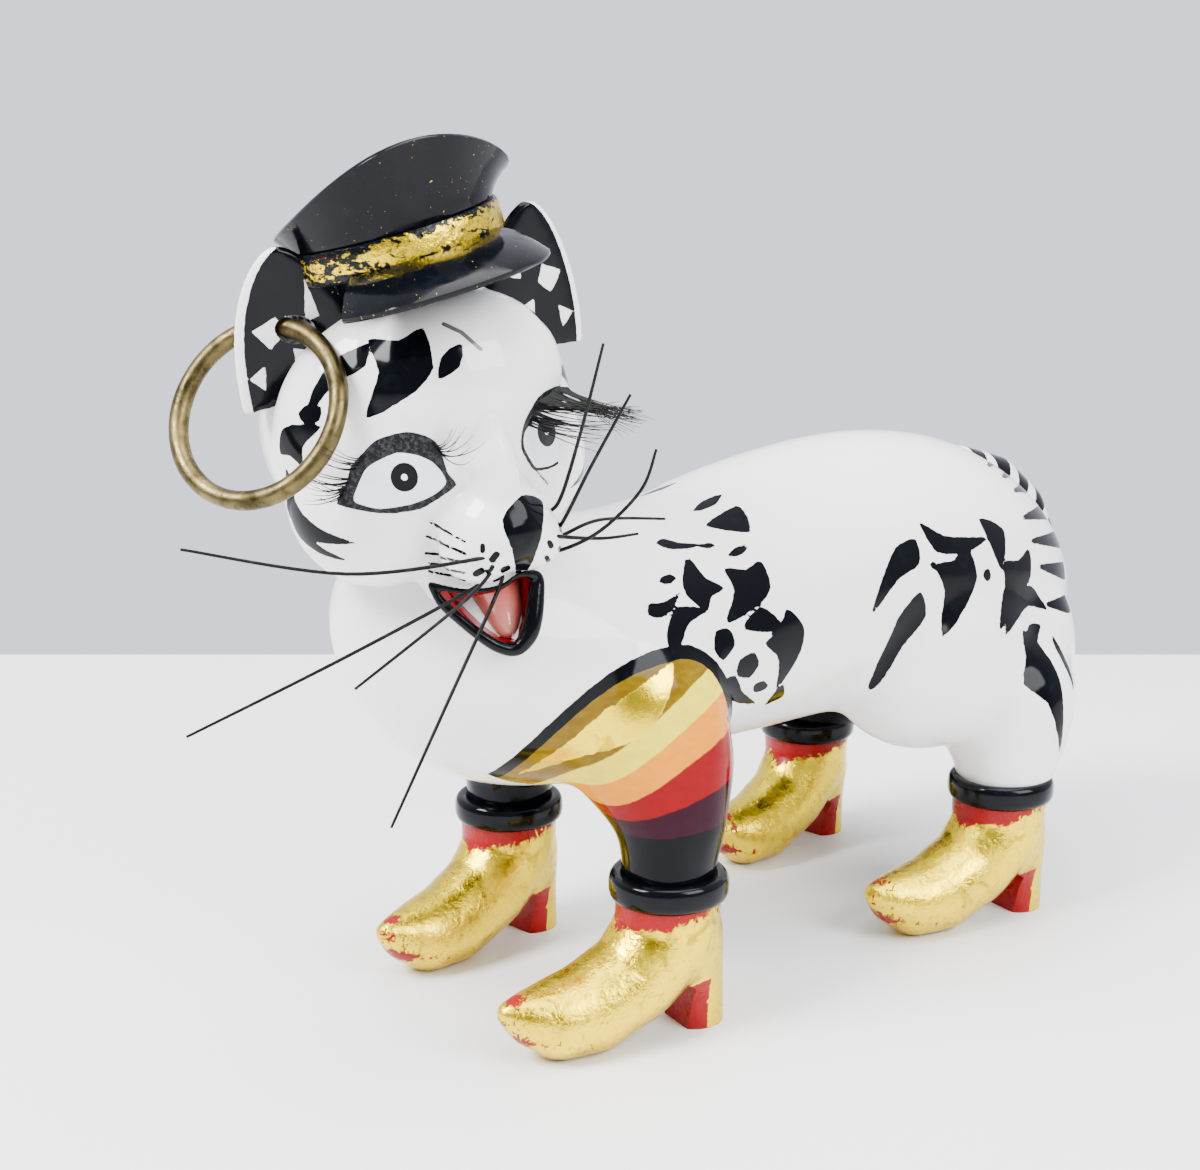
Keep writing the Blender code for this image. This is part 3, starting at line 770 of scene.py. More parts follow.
# Stations along the trunk: place, middle height, half height, half width, and how far it leans right.
TRUNK = [
    (-73, 55.5, 6, 7, 3), (-70, 54.5, 11, 12, 3), (-63, 52.5, 17, 17.5, 2.6), (-52, 50.0, 18.3, 20.5, 1.5),
    (-38, 49.2, 17.8, 21, 0.3), (-26, 50.0, 17.6, 21, 0), (-12, 51.6, 19.3, 21, 0), (2, 52.6, 20.5, 21, 0),
    (16, 52.6, 21.1, 21.5, 0), (30, 50.8, 20.8, 21, 0), (42, 48.0, 18.2, 18.4, 0), (51, 45.5, 13, 13, 0),
    (56, 44.0, 8.5, 8, 0), (58, 43.5, 4, 4, 0),
]
HAUNCHES = [((14.0, 18, 41), (10.5, 20.5, 14.5)), ((13.5, 35.5, 39), (9.6, 12, 13.8))]
FRONT_JOINT = [(-66, 32.8), (-41.9, 53.2), (-27, 35.5), (-27, 0), (-66, 0)]
REAR_JOINT = [(5, 24.5), (50, 24.5), (50, 0), (5, 0)]
TAIL_SPINE = [
    (0, 38, 66, 3.4), (0, 46.5, 62.8, 4.2), (0, 53.5, 57.5, 4.4), (0, 58.7, 49, 4.3),
    (0, 60.3, 41, 4.0), (0, 59.3, 35.5, 3.3), (0, 57.5, 32, 2.6),
]
TAIL_RADIUS = 4.2
TAIL_PITCH = 5.4

# Brush marks, each a unit long and a unit wide, with its tip at the left.
BRUSH_MARKS = {
    "leaf": [(-0.5, 0), (0, 0.5), (0.5, 0.1), (0.05, -0.45)],
    "dab": [(-0.5, 0), (-0.2, 0.45), (0.4, 0.4), (0.5, -0.2), (0, -0.5)],
    "comma": [(-0.5, -0.3), (-0.2, 0.2), (0.2, 0.5), (0.5, 0.2), (0.35, -0.35), (0, -0.15)],
    "wedge": [(-0.5, 0.35), (0.5, 0.5), (0.1, -0.5)],
    "hook": [(-0.5, 0.1), (-0.1, 0.5), (0.35, 0.4), (0.5, -0.5), (0.2, -0.05), (-0.15, 0.05)],
    "fork": [(-0.5, -0.2), (-0.1, 0.1), (0.05, 0.5), (0.25, 0.2), (0.5, 0.1), (0.3, -0.35), (0, -0.4)],
}
# Marks on a flank: kind, place along the body, place round it from the trunk's middle height (up and
# back are positive), length, width, and turn in degrees.
GIRTH_HEIGHT = 50.0
GIRTH_RADIUS = 21.0
FLANK_MARKS = [
    ("leaf", -3, 26.7, 7, 2.4, 15), ("wedge", -3, 20.5, 7.4, 5.6, 10), ("comma", -13, 19, 7, 3, 150),
    ("dab", -9.2, 17.5, 2.2, 1.2, 0), ("leaf", -5.4, 15.2, 4.6, 1.6, 15), ("fork", -13.6, 11.6, 9, 7, 250),
    ("dab", -18.6, 13, 3, 1.6, 10), ("comma", -20.6, 9.2, 6.5, 3, 190), ("hook", -19, 4.4, 10, 5.5, 60),
    ("fork", -7.6, 9.2, 12, 8, 30), ("wedge", -5.2, 4.4, 7.6, 3.6, 165), ("fork", -2, -0.6, 12, 8, 75),
    ("dab", -12.8, 2.1, 4.4, 3.8, 80), ("dab", -8.8, -1.8, 4.2, 3.8, 20),
    ("comma", -9.2, -6, 10, 3.4, 135), ("dab", -5.4, -5.6, 3, 2, 170), ("wedge", -1, -8.6, 4.2, 2.8, 60),
]
HAUNCH_MARKS = [
    ("comma", 19.8, 6.8, 14, 5.5, 32), ("hook", 33.6, 10.6, 14, 5, 176), ("fork", 31.4, 3.4, 14, 10, 50),
    ("comma", 21.2, -4, 17, 6, 58), ("wedge", 42.8, 9, 8.6, 4.6, 105), ("fork", 44.8, 2, 15, 8, 35),
    ("hook", 46.8, -2.8, 13, 6, 20), ("leaf", 48.6, -5.9, 6.4, 2.6, 8), ("fork", 47.6, -10, 11, 7, 100),
    ("leaf", 54, -8.8, 4.6, 2, 95), ("dab", 39, 4.2, 2, 2, 0), ("dab", 27.6, 7.2, 1.4, 1.2, 0),
]
# The stocking: its round top, and for each stripe the place along the leg where it starts, its height
# there and its height at the back of the leg.
HEM_PEAK = (-21.0, 53.0)
HEM_SIDES = ((20.0, 35.5), (12.6, 30.0))
STOCKING_BACK = -12.0
STRIPES = (
    (-41, 35.5, 54), (-34, 32.5, 50), (-31.5, 32, 46), (-29, 31, 41), (-28.5, 29.5, 34.8), (-28, 28, 29.6),
)
LEAF_PATCH = ("leaf", -30, 44, 22, 5.4, 41)
# Wedges down the rump beside the tail, each from its narrow end to its wide one.
WEDGES = [
    ((9.5, 52, 68), (6.5, 57.5, 69.5)), ((12, 52.5, 66.5), (9.5, 58.5, 67)),
    ((14, 53, 64.5), (12, 59.5, 64.5)), ((17.5, 51, 61), (14.5, 60.5, 60.5)),
    ((19, 51.5, 57.5), (16, 62, 56)), ((20, 52.5, 53.5), (18.5, 60.5, 51.5)), ((20.5, 54, 47.5), (21, 58, 47)),
]
WEDGE_HALF_WIDTHS = (0.42, 1.47)
WEDGE_REACH = 4.5
# The direction from which a brush meets the flank.
FLANK_BRUSH = np.array((0.598, -0.782, 0.18))
# Grey spots painted on the black of the right legs as highlights.
PAINTED_HIGHLIGHTS = [(-26, -27, 26.5), (-16, -28.5, 30), (-26, -18, 29), (-22, -14, 25), (-24, 40, 31), (-15, 47, 29)]
PAINTED_HIGHLIGHT_RADIUS = 1.5


def leg_joints(name):
    """The balls of one leg, from the body down into its boot, about the carving point."""
    x, y = SHAFTS[name].x - CARVE.x, SHAFTS[name].y - CARVE.y
    side = math.copysign(1, x)
    if "rear" in name:
        return [(side * 17, 30.7, 33, 11.2), (side * 19, 28.8, 28.5, 9.7), (x, y + 1, 24, 7.4), (x, y, 12, 6.4)]
    return [
        (side * 11, -40.5, 44, 13), (side * 15, -38.5, 36, 10.3), (x, y + 0.6, 29.5, 7.4),
        (x, y, 22, 6.3), (x, y, 12, 6.1),
    ]


def carve_trunk(name):
    """The trunk's rings, bridged and closed."""
    rings = []
    for y, z, high, wide, lean in catmull(TRUNK, 3):
        rings.append([(wide * math.cos(a) - lean, y, z + high * math.sin(a)) for a in round_angles(56)])
    return skinned(name, rings)


def carve_body():
    """Trunk, haunches and legs as one skin."""
    obj = carve_trunk("torso_skin")
    only(obj)
    bpy.ops.object.mode_set(mode="EDIT")
    for (x, y, z), radii in HAUNCHES:
        ball((x, y, z), radii)
        ball((-x, y, z), radii)
    for name in FEET:
        limb(leg_joints(name))
    close_clay()
    return melt(obj, sizes().body_grain, 2.5 * MM)


def brush_mark(kind, across, up, length, width, turn):
    """The outline of one brush mark in its place."""
    c, s = math.cos(math.radians(turn)), math.sin(math.radians(turn))
    unit = [(x * length, y * width) for x, y in BRUSH_MARKS[kind]]
    return curved([(across + x * c - y * s, up + x * s + y * c) for x, y in unit])


def marked(flat, marks):
    """Distance from each flat point to the nearest of some brush marks."""
    return np.min([inside_outline(flat, brush_mark(*mark)) for mark in marks], axis=0)


def hem_outline(drop=0.0):
    """The stocking's outline from the side: two quarter ovals down to its foot."""
    outline = []
    for (reach, low), sign in zip(HEM_SIDES, (-1, 1)):
        arc = [math.radians(a) for a in range(0, 91, 10)]
        arc = arc if sign < 0 else arc[-2::-1]
        rise = HEM_PEAK[1] - low
        outline += [(HEM_PEAK[0] + sign * reach * math.cos(a), low - drop + rise * math.sin(a)) for a in arc]
    return outline + [(-14, 24 - drop), (-14, 16 - drop), (-44, 16 - drop), (-44, 30 - drop)]


def stripe_top(along, start, low, high):
    """Height of a stripe's upper edge at each place along the leg."""
    share = np.clip((along - start) / (STOCKING_BACK - start), 0, 1)
    return low + (high - low) * np.sin(math.pi / 2 * share ** 0.7)


def rump_wedges(co):
    """Distance from each point to the wedges beside the tail, on both sides of the rump."""
    here = np.stack([np.abs(co[:, 0]), co[:, 1], co[:, 2]], axis=1)
    near = here - np.outer(here @ FLANK_BRUSH, FLANK_BRUSH)
    slim, broad = WEDGE_HALF_WIDTHS
    best = np.full(len(co), CLEAR)
    for narrow, wide in WEDGES:
        start, end = (np.array(p) - np.dot(p, FLANK_BRUSH) * FLANK_BRUSH for p in (narrow, wide))
        along = end - start
        share = np.clip((near - start) @ along / (along @ along), 0, 1)
        gap = np.linalg.norm(near - start - share[:, None] * along, axis=1) - (slim + (broad - slim) * share)
        best = np.minimum(best, np.maximum(gap, near_stroke(here, (narrow, wide), WEDGE_REACH)))
    return best


def stripe_number(side):
    """The stripe that each point of the stocking is in, climbing to the next across its width."""
    along, height = side.T
    tops = [stripe_top(along, *stripe) for stripe in STRIPES]
    rung = np.zeros(len(side))
    for k, (top, low) in enumerate(zip(tops, tops[1:])):
        share = (top - height) / np.maximum(top - low, 0.3)
        rung = np.where(share > 0, k + np.clip(share, 0, 1), rung)
    return rung + np.clip(tops[-1] - height, 0, 1)


def dark_legs(co, side):
    """Distance to the black of the right legs, whose upper edges are brushed unevenly."""
    front = inside_outline(side, hem_outline(8))
    hip = 35 + 2.2 * np.sin(co[:, 1] / 3.5)
    rear = np.maximum(co[:, 2] - hip, np.maximum(28 - co[:, 1], co[:, 1] - 66))
    return np.where(co[:, 0] < -4, np.minimum(front, rear), CLEAR)


def mark_body(obj, leg=None):
    """Stores the painted outlines on the trunk or on a leg."""
    co = points_of(obj)
    side = co[:, 1:]
    round_it = np.arctan2(co[:, 2] - GIRTH_HEIGHT, np.abs(co[:, 0])) * GIRTH_RADIUS
    flat = np.stack([co[:, 1], round_it], axis=1)
    store(obj, "ink", np.minimum(marked(flat, FLANK_MARKS + HAUNCH_MARKS), rump_wedges(co)))
    hem = inside_outline(side, hem_outline())
    if leg is None:
        hem = np.maximum(hem, np.where(co[:, 1] > -17, 41 - co[:, 2], -CLEAR))
    on_left = co[:, 0] > 6
    store(obj, "hem", np.where(on_left, hem, CLEAR))
    store(obj, "border", np.where(on_left & (co[:, 2] >= 34), np.abs(hem + 0.6) - 0.85, CLEAR))
    store(obj, "rung", stripe_number(side))
    store(obj, "leaf", marked(side, [LEAF_PATCH]))
    on_right = leg is None or leg.startswith("right")
    store(obj, "dark", dark_legs(co, side) if on_right else np.full(len(co), CLEAR))
    # Distances to the highlights painted on the right legs.
    to_painted_highlights = [np.linalg.norm(co - np.array(spot), axis=1) for spot in PAINTED_HIGHLIGHTS]
    store(obj, "spots", np.min(to_painted_highlights, axis=0) - PAINTED_HIGHLIGHT_RADIUS)


class CAT_OT_body(bpy.types.Operator):
    """Carve the trunk and the four legs as one skin, part them at their joints and paint them"""

    bl_idname = "cat.body"
    bl_label = "Body and legs"

    def execute(self, context):
        body = place(carve_body(), SHIFT)
        paint = skin_finish()
        for name in FEET:
            side = math.copysign(1, SHAFTS[name].x - CARVE.x)
            outline, inner = (REAR_JOINT, 6) if "rear" in name else (FRONT_JOINT, 7)
            moved = [(y + CARVE.y, z) for y, z in outline]
            ends = sorted((CARVE.x + side * inner, CARVE.x + side * 40))
            tool = prism("joint_tool", moved, *ends)
            leg = duplicate(body, name + "_leg_skin")
            cut(leg, tool, "INTERSECT", keep_tool=True)
            cut(body, tool)
            foot = prism("foot_tool", [(-90, -9), (90, -9), (90, BOOT_TOP - 1), (-90, BOOT_TOP - 1)], -60, 60)
            cut(leg, foot)
            mark_body(leg, name)
            slot = {"left_front": "stocking", "left_rear": "white_lacquer"}.get(name, "black_lacquer")
            finish_piece(smooth(leg), FIGURE, slot, paint, name + "_leg")
        mark_body(body)
        finish_piece(smooth(body), FIGURE, "white_lacquer", paint, "torso")
        return {"FINISHED"}


def mark_tail(obj):
    """Stores the tail's wedges, which are broad behind and narrow towards the body."""
    co = points_of(obj) - np.array(CARVE)
    spine = np.array([row[:3] for row in catmull(TAIL_SPINE, 8)])
    lengths = np.concatenate([[0], np.cumsum(np.linalg.norm(np.diff(spine, axis=0), axis=1))])
    nearest = np.argmin(np.linalg.norm(co[:, None] - spine[None], axis=2), axis=1)
    ahead = spine[np.minimum(nearest + 1, len(spine) - 1)] - spine[np.maximum(nearest - 1, 0)]
    ahead /= np.linalg.norm(ahead, axis=1)[:, None]
    away = co - spine[nearest]
    far = lengths[nearest] + np.sum(away * ahead, axis=1)
    backward = np.stack([np.zeros(len(co)), -ahead[:, 2], ahead[:, 1]], axis=1)
    out = np.clip(np.sum(away * backward, axis=1) / TAIL_RADIUS, -1, 1)
    from_wedge = np.abs((far / TAIL_PITCH + 0.25) % 1 - 0.5) * TAIL_PITCH
    store(obj, "ink", np.where(out > -0.85, from_wedge - (1.25 + 0.75 * out), 1.0))


class CAT_OT_tail(bpy.types.Operator):
    """Carve the tail and paint its wedges"""

    bl_idname = "cat.tail"
    bl_label = "Tail"

    def execute(self, context):
        obj = start_clay("tail_skin")
        limb(TAIL_SPINE, step=1.0)
        close_clay()
        melt(obj, 0.4 * MM, 1.0 * MM)
        place(obj, SHIFT)
        mark_tail(obj)
        finish_piece(smooth(obj), FIGURE, "white_lacquer", tail_finish(), "tail")
        return {"FINISHED"}


# ---------------------------------------------------------------- boots and cuffs

SOLE_CUT = [
    (-13, 0), (-1.4, 0), (-1.8, 6.2), (-0.4, 7.3), (2.4, 5.8), (6, 2.2), (8.4, 0.6), (10.5, 0), (19, 0),
    (19, -8), (-13, -8),
]


# The clay of a boot, ahead of its shaft: shaft and foot, toe, and heel, each (x, y, z, radius).
BOOT_FOOT = [(0, 0, 24, 7.4), (0, 0, 14, 7.0), (5, 0, 8.5, 6.4), (12, 0, 5.5, 6.1), (16.5, 0, 5.1, 5.5)]
BOOT_TOE = [(16.5, 0, 5.1, 5.5), (20.5, 0, 6.1, 3.8), (24.0, 0, 7.5, 1.7)]
BOOT_HEEL = [(-1.2, 0, 13, 6.5), (-3.8, 0, 6, 4.4), (-4.6, 0, -3, 3.9)]
BOOT_MOUTH = [(-14, -14), (14, -14), (14, 14), (-14, 14)]
TOE_OUT = math.radians(8)


def carve_boot(name):
    """One boot in its own frame, cut off level at its sole and at its mouth."""
    obj = start_clay(name)
    limb(BOOT_FOOT, 1)
    limb(BOOT_TOE, 0.8)
    limb(BOOT_HEEL, 1)
    close_clay()
    melt(obj, sizes().boot_grain, 0.85 * MM)
    cut(obj, prism("sole_tool", SOLE_CUT, -12, 12, axis=1))
    return cut(obj, prism("top_tool", BOOT_MOUTH, BOOT_TOP, 40, axis=2))


def wear_boot(obj):
    """Stores how far the leaf has worn off: most at the mouth, and then at the heel, welt and toe."""
    front, side, up = points_of(obj).T
    ahead = np.cos(np.arctan2(side, front))
    below_mouth = np.clip(1.3 - (BOOT_TOP - up) / (2.0 + 1.1 * ahead), 0, 1)
    heel_breast = (front > -3.6) & (front < 6) & (np.abs(side) < 5.2) & (up < 7.4) & (up < 6.4 - 0.5 * front)
    welt = np.abs(up - 2.2 - 0.16 * np.clip(front - 12, 0, 20)) / 1.5
    ridge = np.exp(-((side / 1.6) ** 2)) * (up > 9) * (front > 2)
    wear = 0.02 + 0.42 * below_mouth * (0.6 + 0.4 * ahead) + 0.5 * heel_breast
    wear += 0.16 * np.clip(1 - welt, 0, 1) * (front > 8)
    wear += 0.14 * np.clip((front - 20.5) / 2.5, 0, 1) + 0.12 * ridge
    wear += 0.3 * (up < 0.15)
    store(obj, "wear", wear)


class CAT_OT_boots(bpy.types.Operator):
    """Carve the four boots and lay their leaf"""

    bl_idname = "cat.boots"
    bl_label = "Boots"

    def execute(self, context):
        paint = leaf_finish("boot_leaf")
        for name in FEET:
            obj = carve_boot(name + "_boot_leaf")
            wear_boot(obj)
            smooth(obj)
            under_shaft = Vector((SHAFTS[name].x, SHAFTS[name].y, 0)) * MM
            place(obj, facing(under_shaft, -TOE_OUT if "left" in name else TOE_OUT))
            finish_piece(obj, FIGURE, "gold_leaf", paint, name + "_boot")
        return {"FINISHED"}


CUFF_BORE = 5.7


def cuff_rings(outer, half):
    """Sections of a rolled collar that is fuller at the shoulder than a plain oval."""
    rings = []
    for a in round_angles(72):
        ring = []
        for b in round_angles(28):
            c, s = math.cos(b), math.sin(b)
            r = (outer + CUFF_BORE) / 2 + (outer - CUFF_BORE) / 2 * math.copysign(abs(c) ** 0.7, c)
            r += 0.12 * math.sin(3 * a)
            ring.append((r * math.cos(a), r * math.sin(a), half * math.copysign(abs(s) ** 0.75, s)))
        rings.append(ring)
    return rings


class CAT_OT_cuffs(bpy.types.Operator):
    """Roll the black collars on top of the boots"""

    bl_idname = "cat.cuffs"
    bl_label = "Cuffs"

    def execute(self, context):
        paint = black_finish("cuff_lacquer")
        for name in FEET:
            low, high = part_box(name + "_cuff")
            size = (high - low) / MM
            rings = cuff_rings(size.x / 2 + 0.15, size.z / 2 + 0.2)
            obj = skinned(name + "_cuff_roll", rings, closed=True)
            place(obj, Matrix.Translation(middle(name + "_cuff")))
            finish_piece(smooth(obj, 60), FIGURE, "black_lacquer", paint, name + "_cuff")
        return {"FINISHED"}


# ---------------------------------------------------------------- head

# Centre and radii: forward, left, up.
HEAD_BALLS = [
    ((-2, -1.8, 3), (17.5, 19.6, 18)), ((2, -9, -4), (10.5, 12, 12)), ((1, 8.3, -3), (11, 9.8, 11)),
    ((6, 0, 9), (11, 14, 11)), ((14, 0, -7), (8, 7, 6)), ((16, 3.2, -9), (5, 4.5, 4)),
    ((16, -3.2, -9), (5, 4.5, 4)), ((8.5, -1, -14.5), (6, 7, 6)), ((14, 0, 0), (6.5, 3.2, 8)),
    ((18.4, 1.3, -6.4), (3.2, 2.5, 4.4)),
]
# The jaw's floor, behind its rim, with a radius.
JAW_FLOOR = (9.5, -1, -14.5, 4)
# The side that the face is painted from, and the two directions across it, in the head's frame.
FACE_BRUSH = np.array((0.894, -0.338, 0.297))
FACE_ACROSS = np.array((0.354, 0.935, 0.0))
FACE_UP = np.array((-0.278, 0.105, 0.955))
# The open mouth, on a plane ahead of the head's middle: left and up, then how far a point is drawn
# towards the painter from that plane, then a radius.
MOUTH_PLANE = 16
MOUTH_MIDDLE = (-1.6, -16.8)
MOUTH_HOLE = [
    (-9.4, -12.6), (-6.0, -14.5), (-0.8, -14.9), (1.8, -14.0), (3.1, -13.9), (2.6, -17.0), (1.9, -20.1),
    (0.6, -21.9), (-1.7, -21.3), (-3.7, -19.6), (-6.0, -17.2), (-8.2, -14.8),
]
LIPS = [
    (-9.5, -12.2, -3.4, 0.45), (-8.4, -14.7, -2.5, 0.65), (-6.1, -17.6, -0.5, 0.7), (-3.6, -20.3, 1.5, 0.75),
    (-1.7, -21.9, 2.5, 0.8), (0.3, -22.6, 3.0, 0.9), (2.0, -21.4, 3.0, 1.1), (2.9, -19.6, 2.5, 1.15),
    (3.6, -17.0, 1.5, 1.1), (4.0, -14.4, 0.8, 0.8), (1.8, -13.5, 1.6, 0.35), (-0.8, -14.3, 1.4, 0.35),
    (-5.0, -14.0, -1.0, 0.4),
]
JAW = [
    (-8.0, -14.9, -4.6, 1.8), (-6.0, -17.3, -2.8, 1.9), (-3.6, -19.8, -0.9, 1.9), (-0.2, -21.6, 0.7, 1.9),
    (2.4, -19.8, 0.3, 1.9), (3.2, -16.8, -0.8, 1.9), (3.6, -14.4, -2, 1.9),
]
TONGUE = [(-1.5, -14.6, -5.0, 3.3), (-0.9, -17.6, -3.4, 2.7), (-0.5, -20.2, -0.8, 1.3)]
# The eyes: each lid's outline, the white inside it, and the pupil's middle, radii and the radii of a highlight
# painted in it.
NEAR_EYE = [
    (9.6, -17.3, -1.6), (10, -15.9, 0.8), (10.5, -15.2, 2.8), (11.5, -14, 4.3), (12.5, -12.5, 5.8),
    (13.5, -10.5, 6.4), (14, -9, 6.4), (15, -7.3, 5.8), (15, -5.8, 4.2), (15.2, -5.3, 1), (15.7, -4.6, -0.7),
    (14.5, -6.5, -2.2), (13.5, -8.5, -3.3), (12.5, -11.5, -3.4), (11.5, -14, -2.9),
]
NEAR_WHITE = [
    (10.5, -15.5, -1.1), (11.5, -14, 2.2), (12.5, -12.8, 3.3), (13.5, -10.5, 4.1), (14.5, -8.5, 3.6),
    (15, -7, 2.6), (15, -6, 1.2), (15.2, -5.6, -0.3), (14.5, -7, -1.6), (13, -9.5, -2.6), (12, -13, -2.6),
    (11, -15, -1.8),
]
NEAR_PUPIL = ((13.5, -10, 1), (1.6, 1.7), (0.4, 0.4))
FAR_EYE = [
    (14.8, 4.6, 2.8), (15.2, 5.2, 5), (15, 7.3, 7.3), (12.6, 10.6, 7.3), (7.5, 14.6, 5.3), (9.2, 13.9, 0.3),
    (10.3, 12.8, -0.9), (11.4, 11.2, -2.4), (11.9, 9.5, -2.9), (12.9, 6.8, -2.4), (13.6, 5.6, -0.7),
    (14.5, 4.6, 1.3),
]
FAR_WHITE = [
    (15, 5, 3.2), (14.8, 6, 4.2), (14.2, 7.6, 5), (12.2, 10.4, 4.8), (9.6, 13, 3), (9.5, 13.5, 0.5),
    (10.5, 12.5, -0.5), (11.5, 11, -2), (12, 9.5, -2.5), (13, 7, -2), (13.5, 6, -0.5), (14.5, 5, 1.5),
]
FAR_PUPIL = ((12, 9.2, 1.8), (1.2, 1.8), (0.3, 0.36))
# The nose, and brush marks across the brow as they lie across and up on the painter's side.
NOSE = [
    (20.4, -1.4, -4.4), (19.6, 1.8, -2.4), (18.2, 5, -4.4), (20.9, 3.0, -7.8), (19.8, 1.2, -12.2),
    (19.4, 0.2, -12.4), (21.2, -0.9, -8),
]
BROW_MARKS = [("fork", -4.4, 8.4, 12, 9, 38), ("leaf", 2.4, 8.5, 5, 2.5, 48)]
# Brush marks on the side of the head, as forward and up.
TEMPLE_MARKS = [
    ("comma", 7.2, 12.2, 8, 4, 60), ("dab", 6.2, 8.6, 2.8, 2.4, 0), ("fork", 5, 5.2, 7, 5.6, 200),
    ("hook", 5.8, -3.4, 11, 6, 150), ("comma", 5.4, -6.8, 8, 3.4, 130),
]
# Short strokes and dots on the whisker pads, as routes and a radius.
PAD_STROKES = [
    ([(13.5, -7.6, -5.2), (18.8, -5.6, -6.6)], 0.16), ([(12.8, -8.2, -7), (19, -5.8, -7.9)], 0.17),
    ([(12.5, -8.4, -9.3), (19.2, -6, -8.9)], 0.18), ([(11.8, -7.8, -11), (18.6, -6, -10.4)], 0.17),
    ([(10.6, -7.6, -12.4), (17.2, -5.6, -11.9)], 0.17),
    ([(20.6, -4.2, -6.9), (20.6, -4.3, -7.5)], 0.33), ([(21, -2.8, -8.2), (20.9, -3.3, -8.7)], 0.42),
    ([(20.4, -2.0, -10.6), (20.6, -1.4, -10.4)], 0.36), ([(20, -5.2, -10.3), (20.2, -4.6, -10)], 0.42),
    ([(20.5, -3.3, -9.8), (20.4, -3.8, -10.3)], 0.3), ([(18, -3.9, -12.6), (18, -3.3, -12.7)], 0.28),
    ([(18, -2.2, -12.9), (18.2, -1.6, -12.7)], 0.28), ([(20.1, 4.4, -8.8), (20, 4.6, -9.3)], 0.34),
    ([(20, 3.9, -10.6), (19.8, 4.2, -11.2)], 0.3), ([(19, 6.6, -7.4), (19, 6.7, -8.2)], 0.3),
    ([(17.6, 7.4, -6), (17.5, 7.6, -7)], 0.25), ([(19.4, 6, -10.2), (19.3, 6.2, -10.7)], 0.3),
]
# Thin lines under the far eye and on the brow, as routes and a radius.
FACE_LINES = [
    ([(14.2, 5, 1), (13, 7, -2.5), (12, 8.5, -4.5), (11, 10.5, -7)], 0.13),
    ([(12.5, -2.5, 17.5), (14, -1, 16.5), (15.5, 0.5, 14.5)], 0.24),
]


def on_face(points):
    """Points in the head's frame as they lie across and up on the painter's side."""
    points = np.array(points, float).reshape(-1, 3)
    return np.stack([points @ FACE_ACROSS, points @ FACE_UP], axis=1)


def drawn_out(left, up, depth):
    """A point of the mouth in the head's frame."""
    return Vector((MOUTH_PLANE, left, up)) + Vector(FACE_BRUSH) * depth


def face_stroke(face, route, radius):
    """Distance from flat points of the face to a brush stroke."""
    return near_stroke(face, [tuple(p) for p in on_face(route)], radius)


def mark_head(obj):
    """Stores the painted outlines of the face."""
    co = points_of(obj, HEAD_INVERSE)
    face = on_face(co)
    side = co[:, [0, 2]]
    ahead = (co @ FACE_BRUSH) > 6

    def painted(values):
        return np.where(ahead, values, CLEAR)

    def outline_of(points):
        return inside_outline(face, curved(on_face(points)))

    def strokes(routes):
        return painted(np.min([face_stroke(face, route, radius) for route, radius in routes], axis=0))

    temples = np.where(np.abs(co[:, 1]) > 8.5, marked(side, TEMPLE_MARKS), CLEAR)
    face_marks = painted(np.minimum(outline_of(NOSE), marked(face, BROW_MARKS)))
    ink = np.minimum(np.minimum(face_marks, temples), strokes(PAD_STROKES))
    mouth = inside_outline(face, on_face([(MOUTH_PLANE, *p) for p in MOUTH_HOLE])) - 0.3
    mouth = np.where(co @ FACE_BRUSH > 0, mouth, CLEAR)
    store(obj, "mouth", mouth)
    store(obj, "ink", np.where(mouth < 0.1, CLEAR, ink))
    store(obj, "lid", painted(np.minimum(outline_of(NEAR_EYE), outline_of(FAR_EYE))))
    store(obj, "eye", painted(np.minimum(outline_of(NEAR_WHITE), outline_of(FAR_WHITE))))
    pupils, glints = [], []
    for centre, radii, glint in (NEAR_PUPIL, FAR_PUPIL):
        flat = on_face(centre)[0]
        pupils.append(in_oval(face, flat, radii))
        glints.append(in_oval(face, flat, glint))
    store(obj, "pupil", painted(np.minimum(*pupils)))
    store(obj, "glint", painted(np.minimum(*glints)))
    store(obj, "line", strokes(FACE_LINES))


def carve_head(name):
    """Skull, muzzle and jaw. The jaw is a scoop: a rim that follows the lips, and a floor behind it."""
    obj = start_clay(name)
    for centre, radii in HEAD_BALLS:
        ball(centre, radii, detail=5)
    rim = []
    for left, up, depth, radius in JAW:
        inward = Vector((left, up)).lerp(Vector(MOUTH_MIDDLE), 0.26)
        rim.append((*drawn_out(*inward, depth), radius))
    limb(rim, 0.9)
    for point in rim[1:-1]:
        limb([point, JAW_FLOOR], 1.4)
    close_clay()
    return melt(obj, sizes().head_grain, 1.0 * MM)


def open_mouth(obj):
    """Cuts the mouth as a pocket that narrows inwards."""
    rings = []
    for depth, share in ((14, 1.0), (0.5, 0.97), (-4.6, 0.72)):
        shrunk = [Vector(p).lerp(Vector(MOUTH_MIDDLE), 1 - share) for p in MOUTH_HOLE]
        rings.append([drawn_out(*p, depth) for p in shrunk])
    return cut(obj, skinned("mouth_tool", rings))


def make_lips():
    """A black roll round the mouth."""
    obj = start_clay("lips")
    for left, up, depth, radius in catmull(LIPS + LIPS[:1], 7)[:-1]:
        ball(drawn_out(left, up, depth), (max(radius, 0.32),) * 3, detail=3)
    close_clay()
    place(melt(obj, 0.2 * MM, 0.22 * MM), HEAD)
    finish_piece(smooth(obj, 60), FIGURE, "black_lacquer", black_finish("lip_lacquer"))


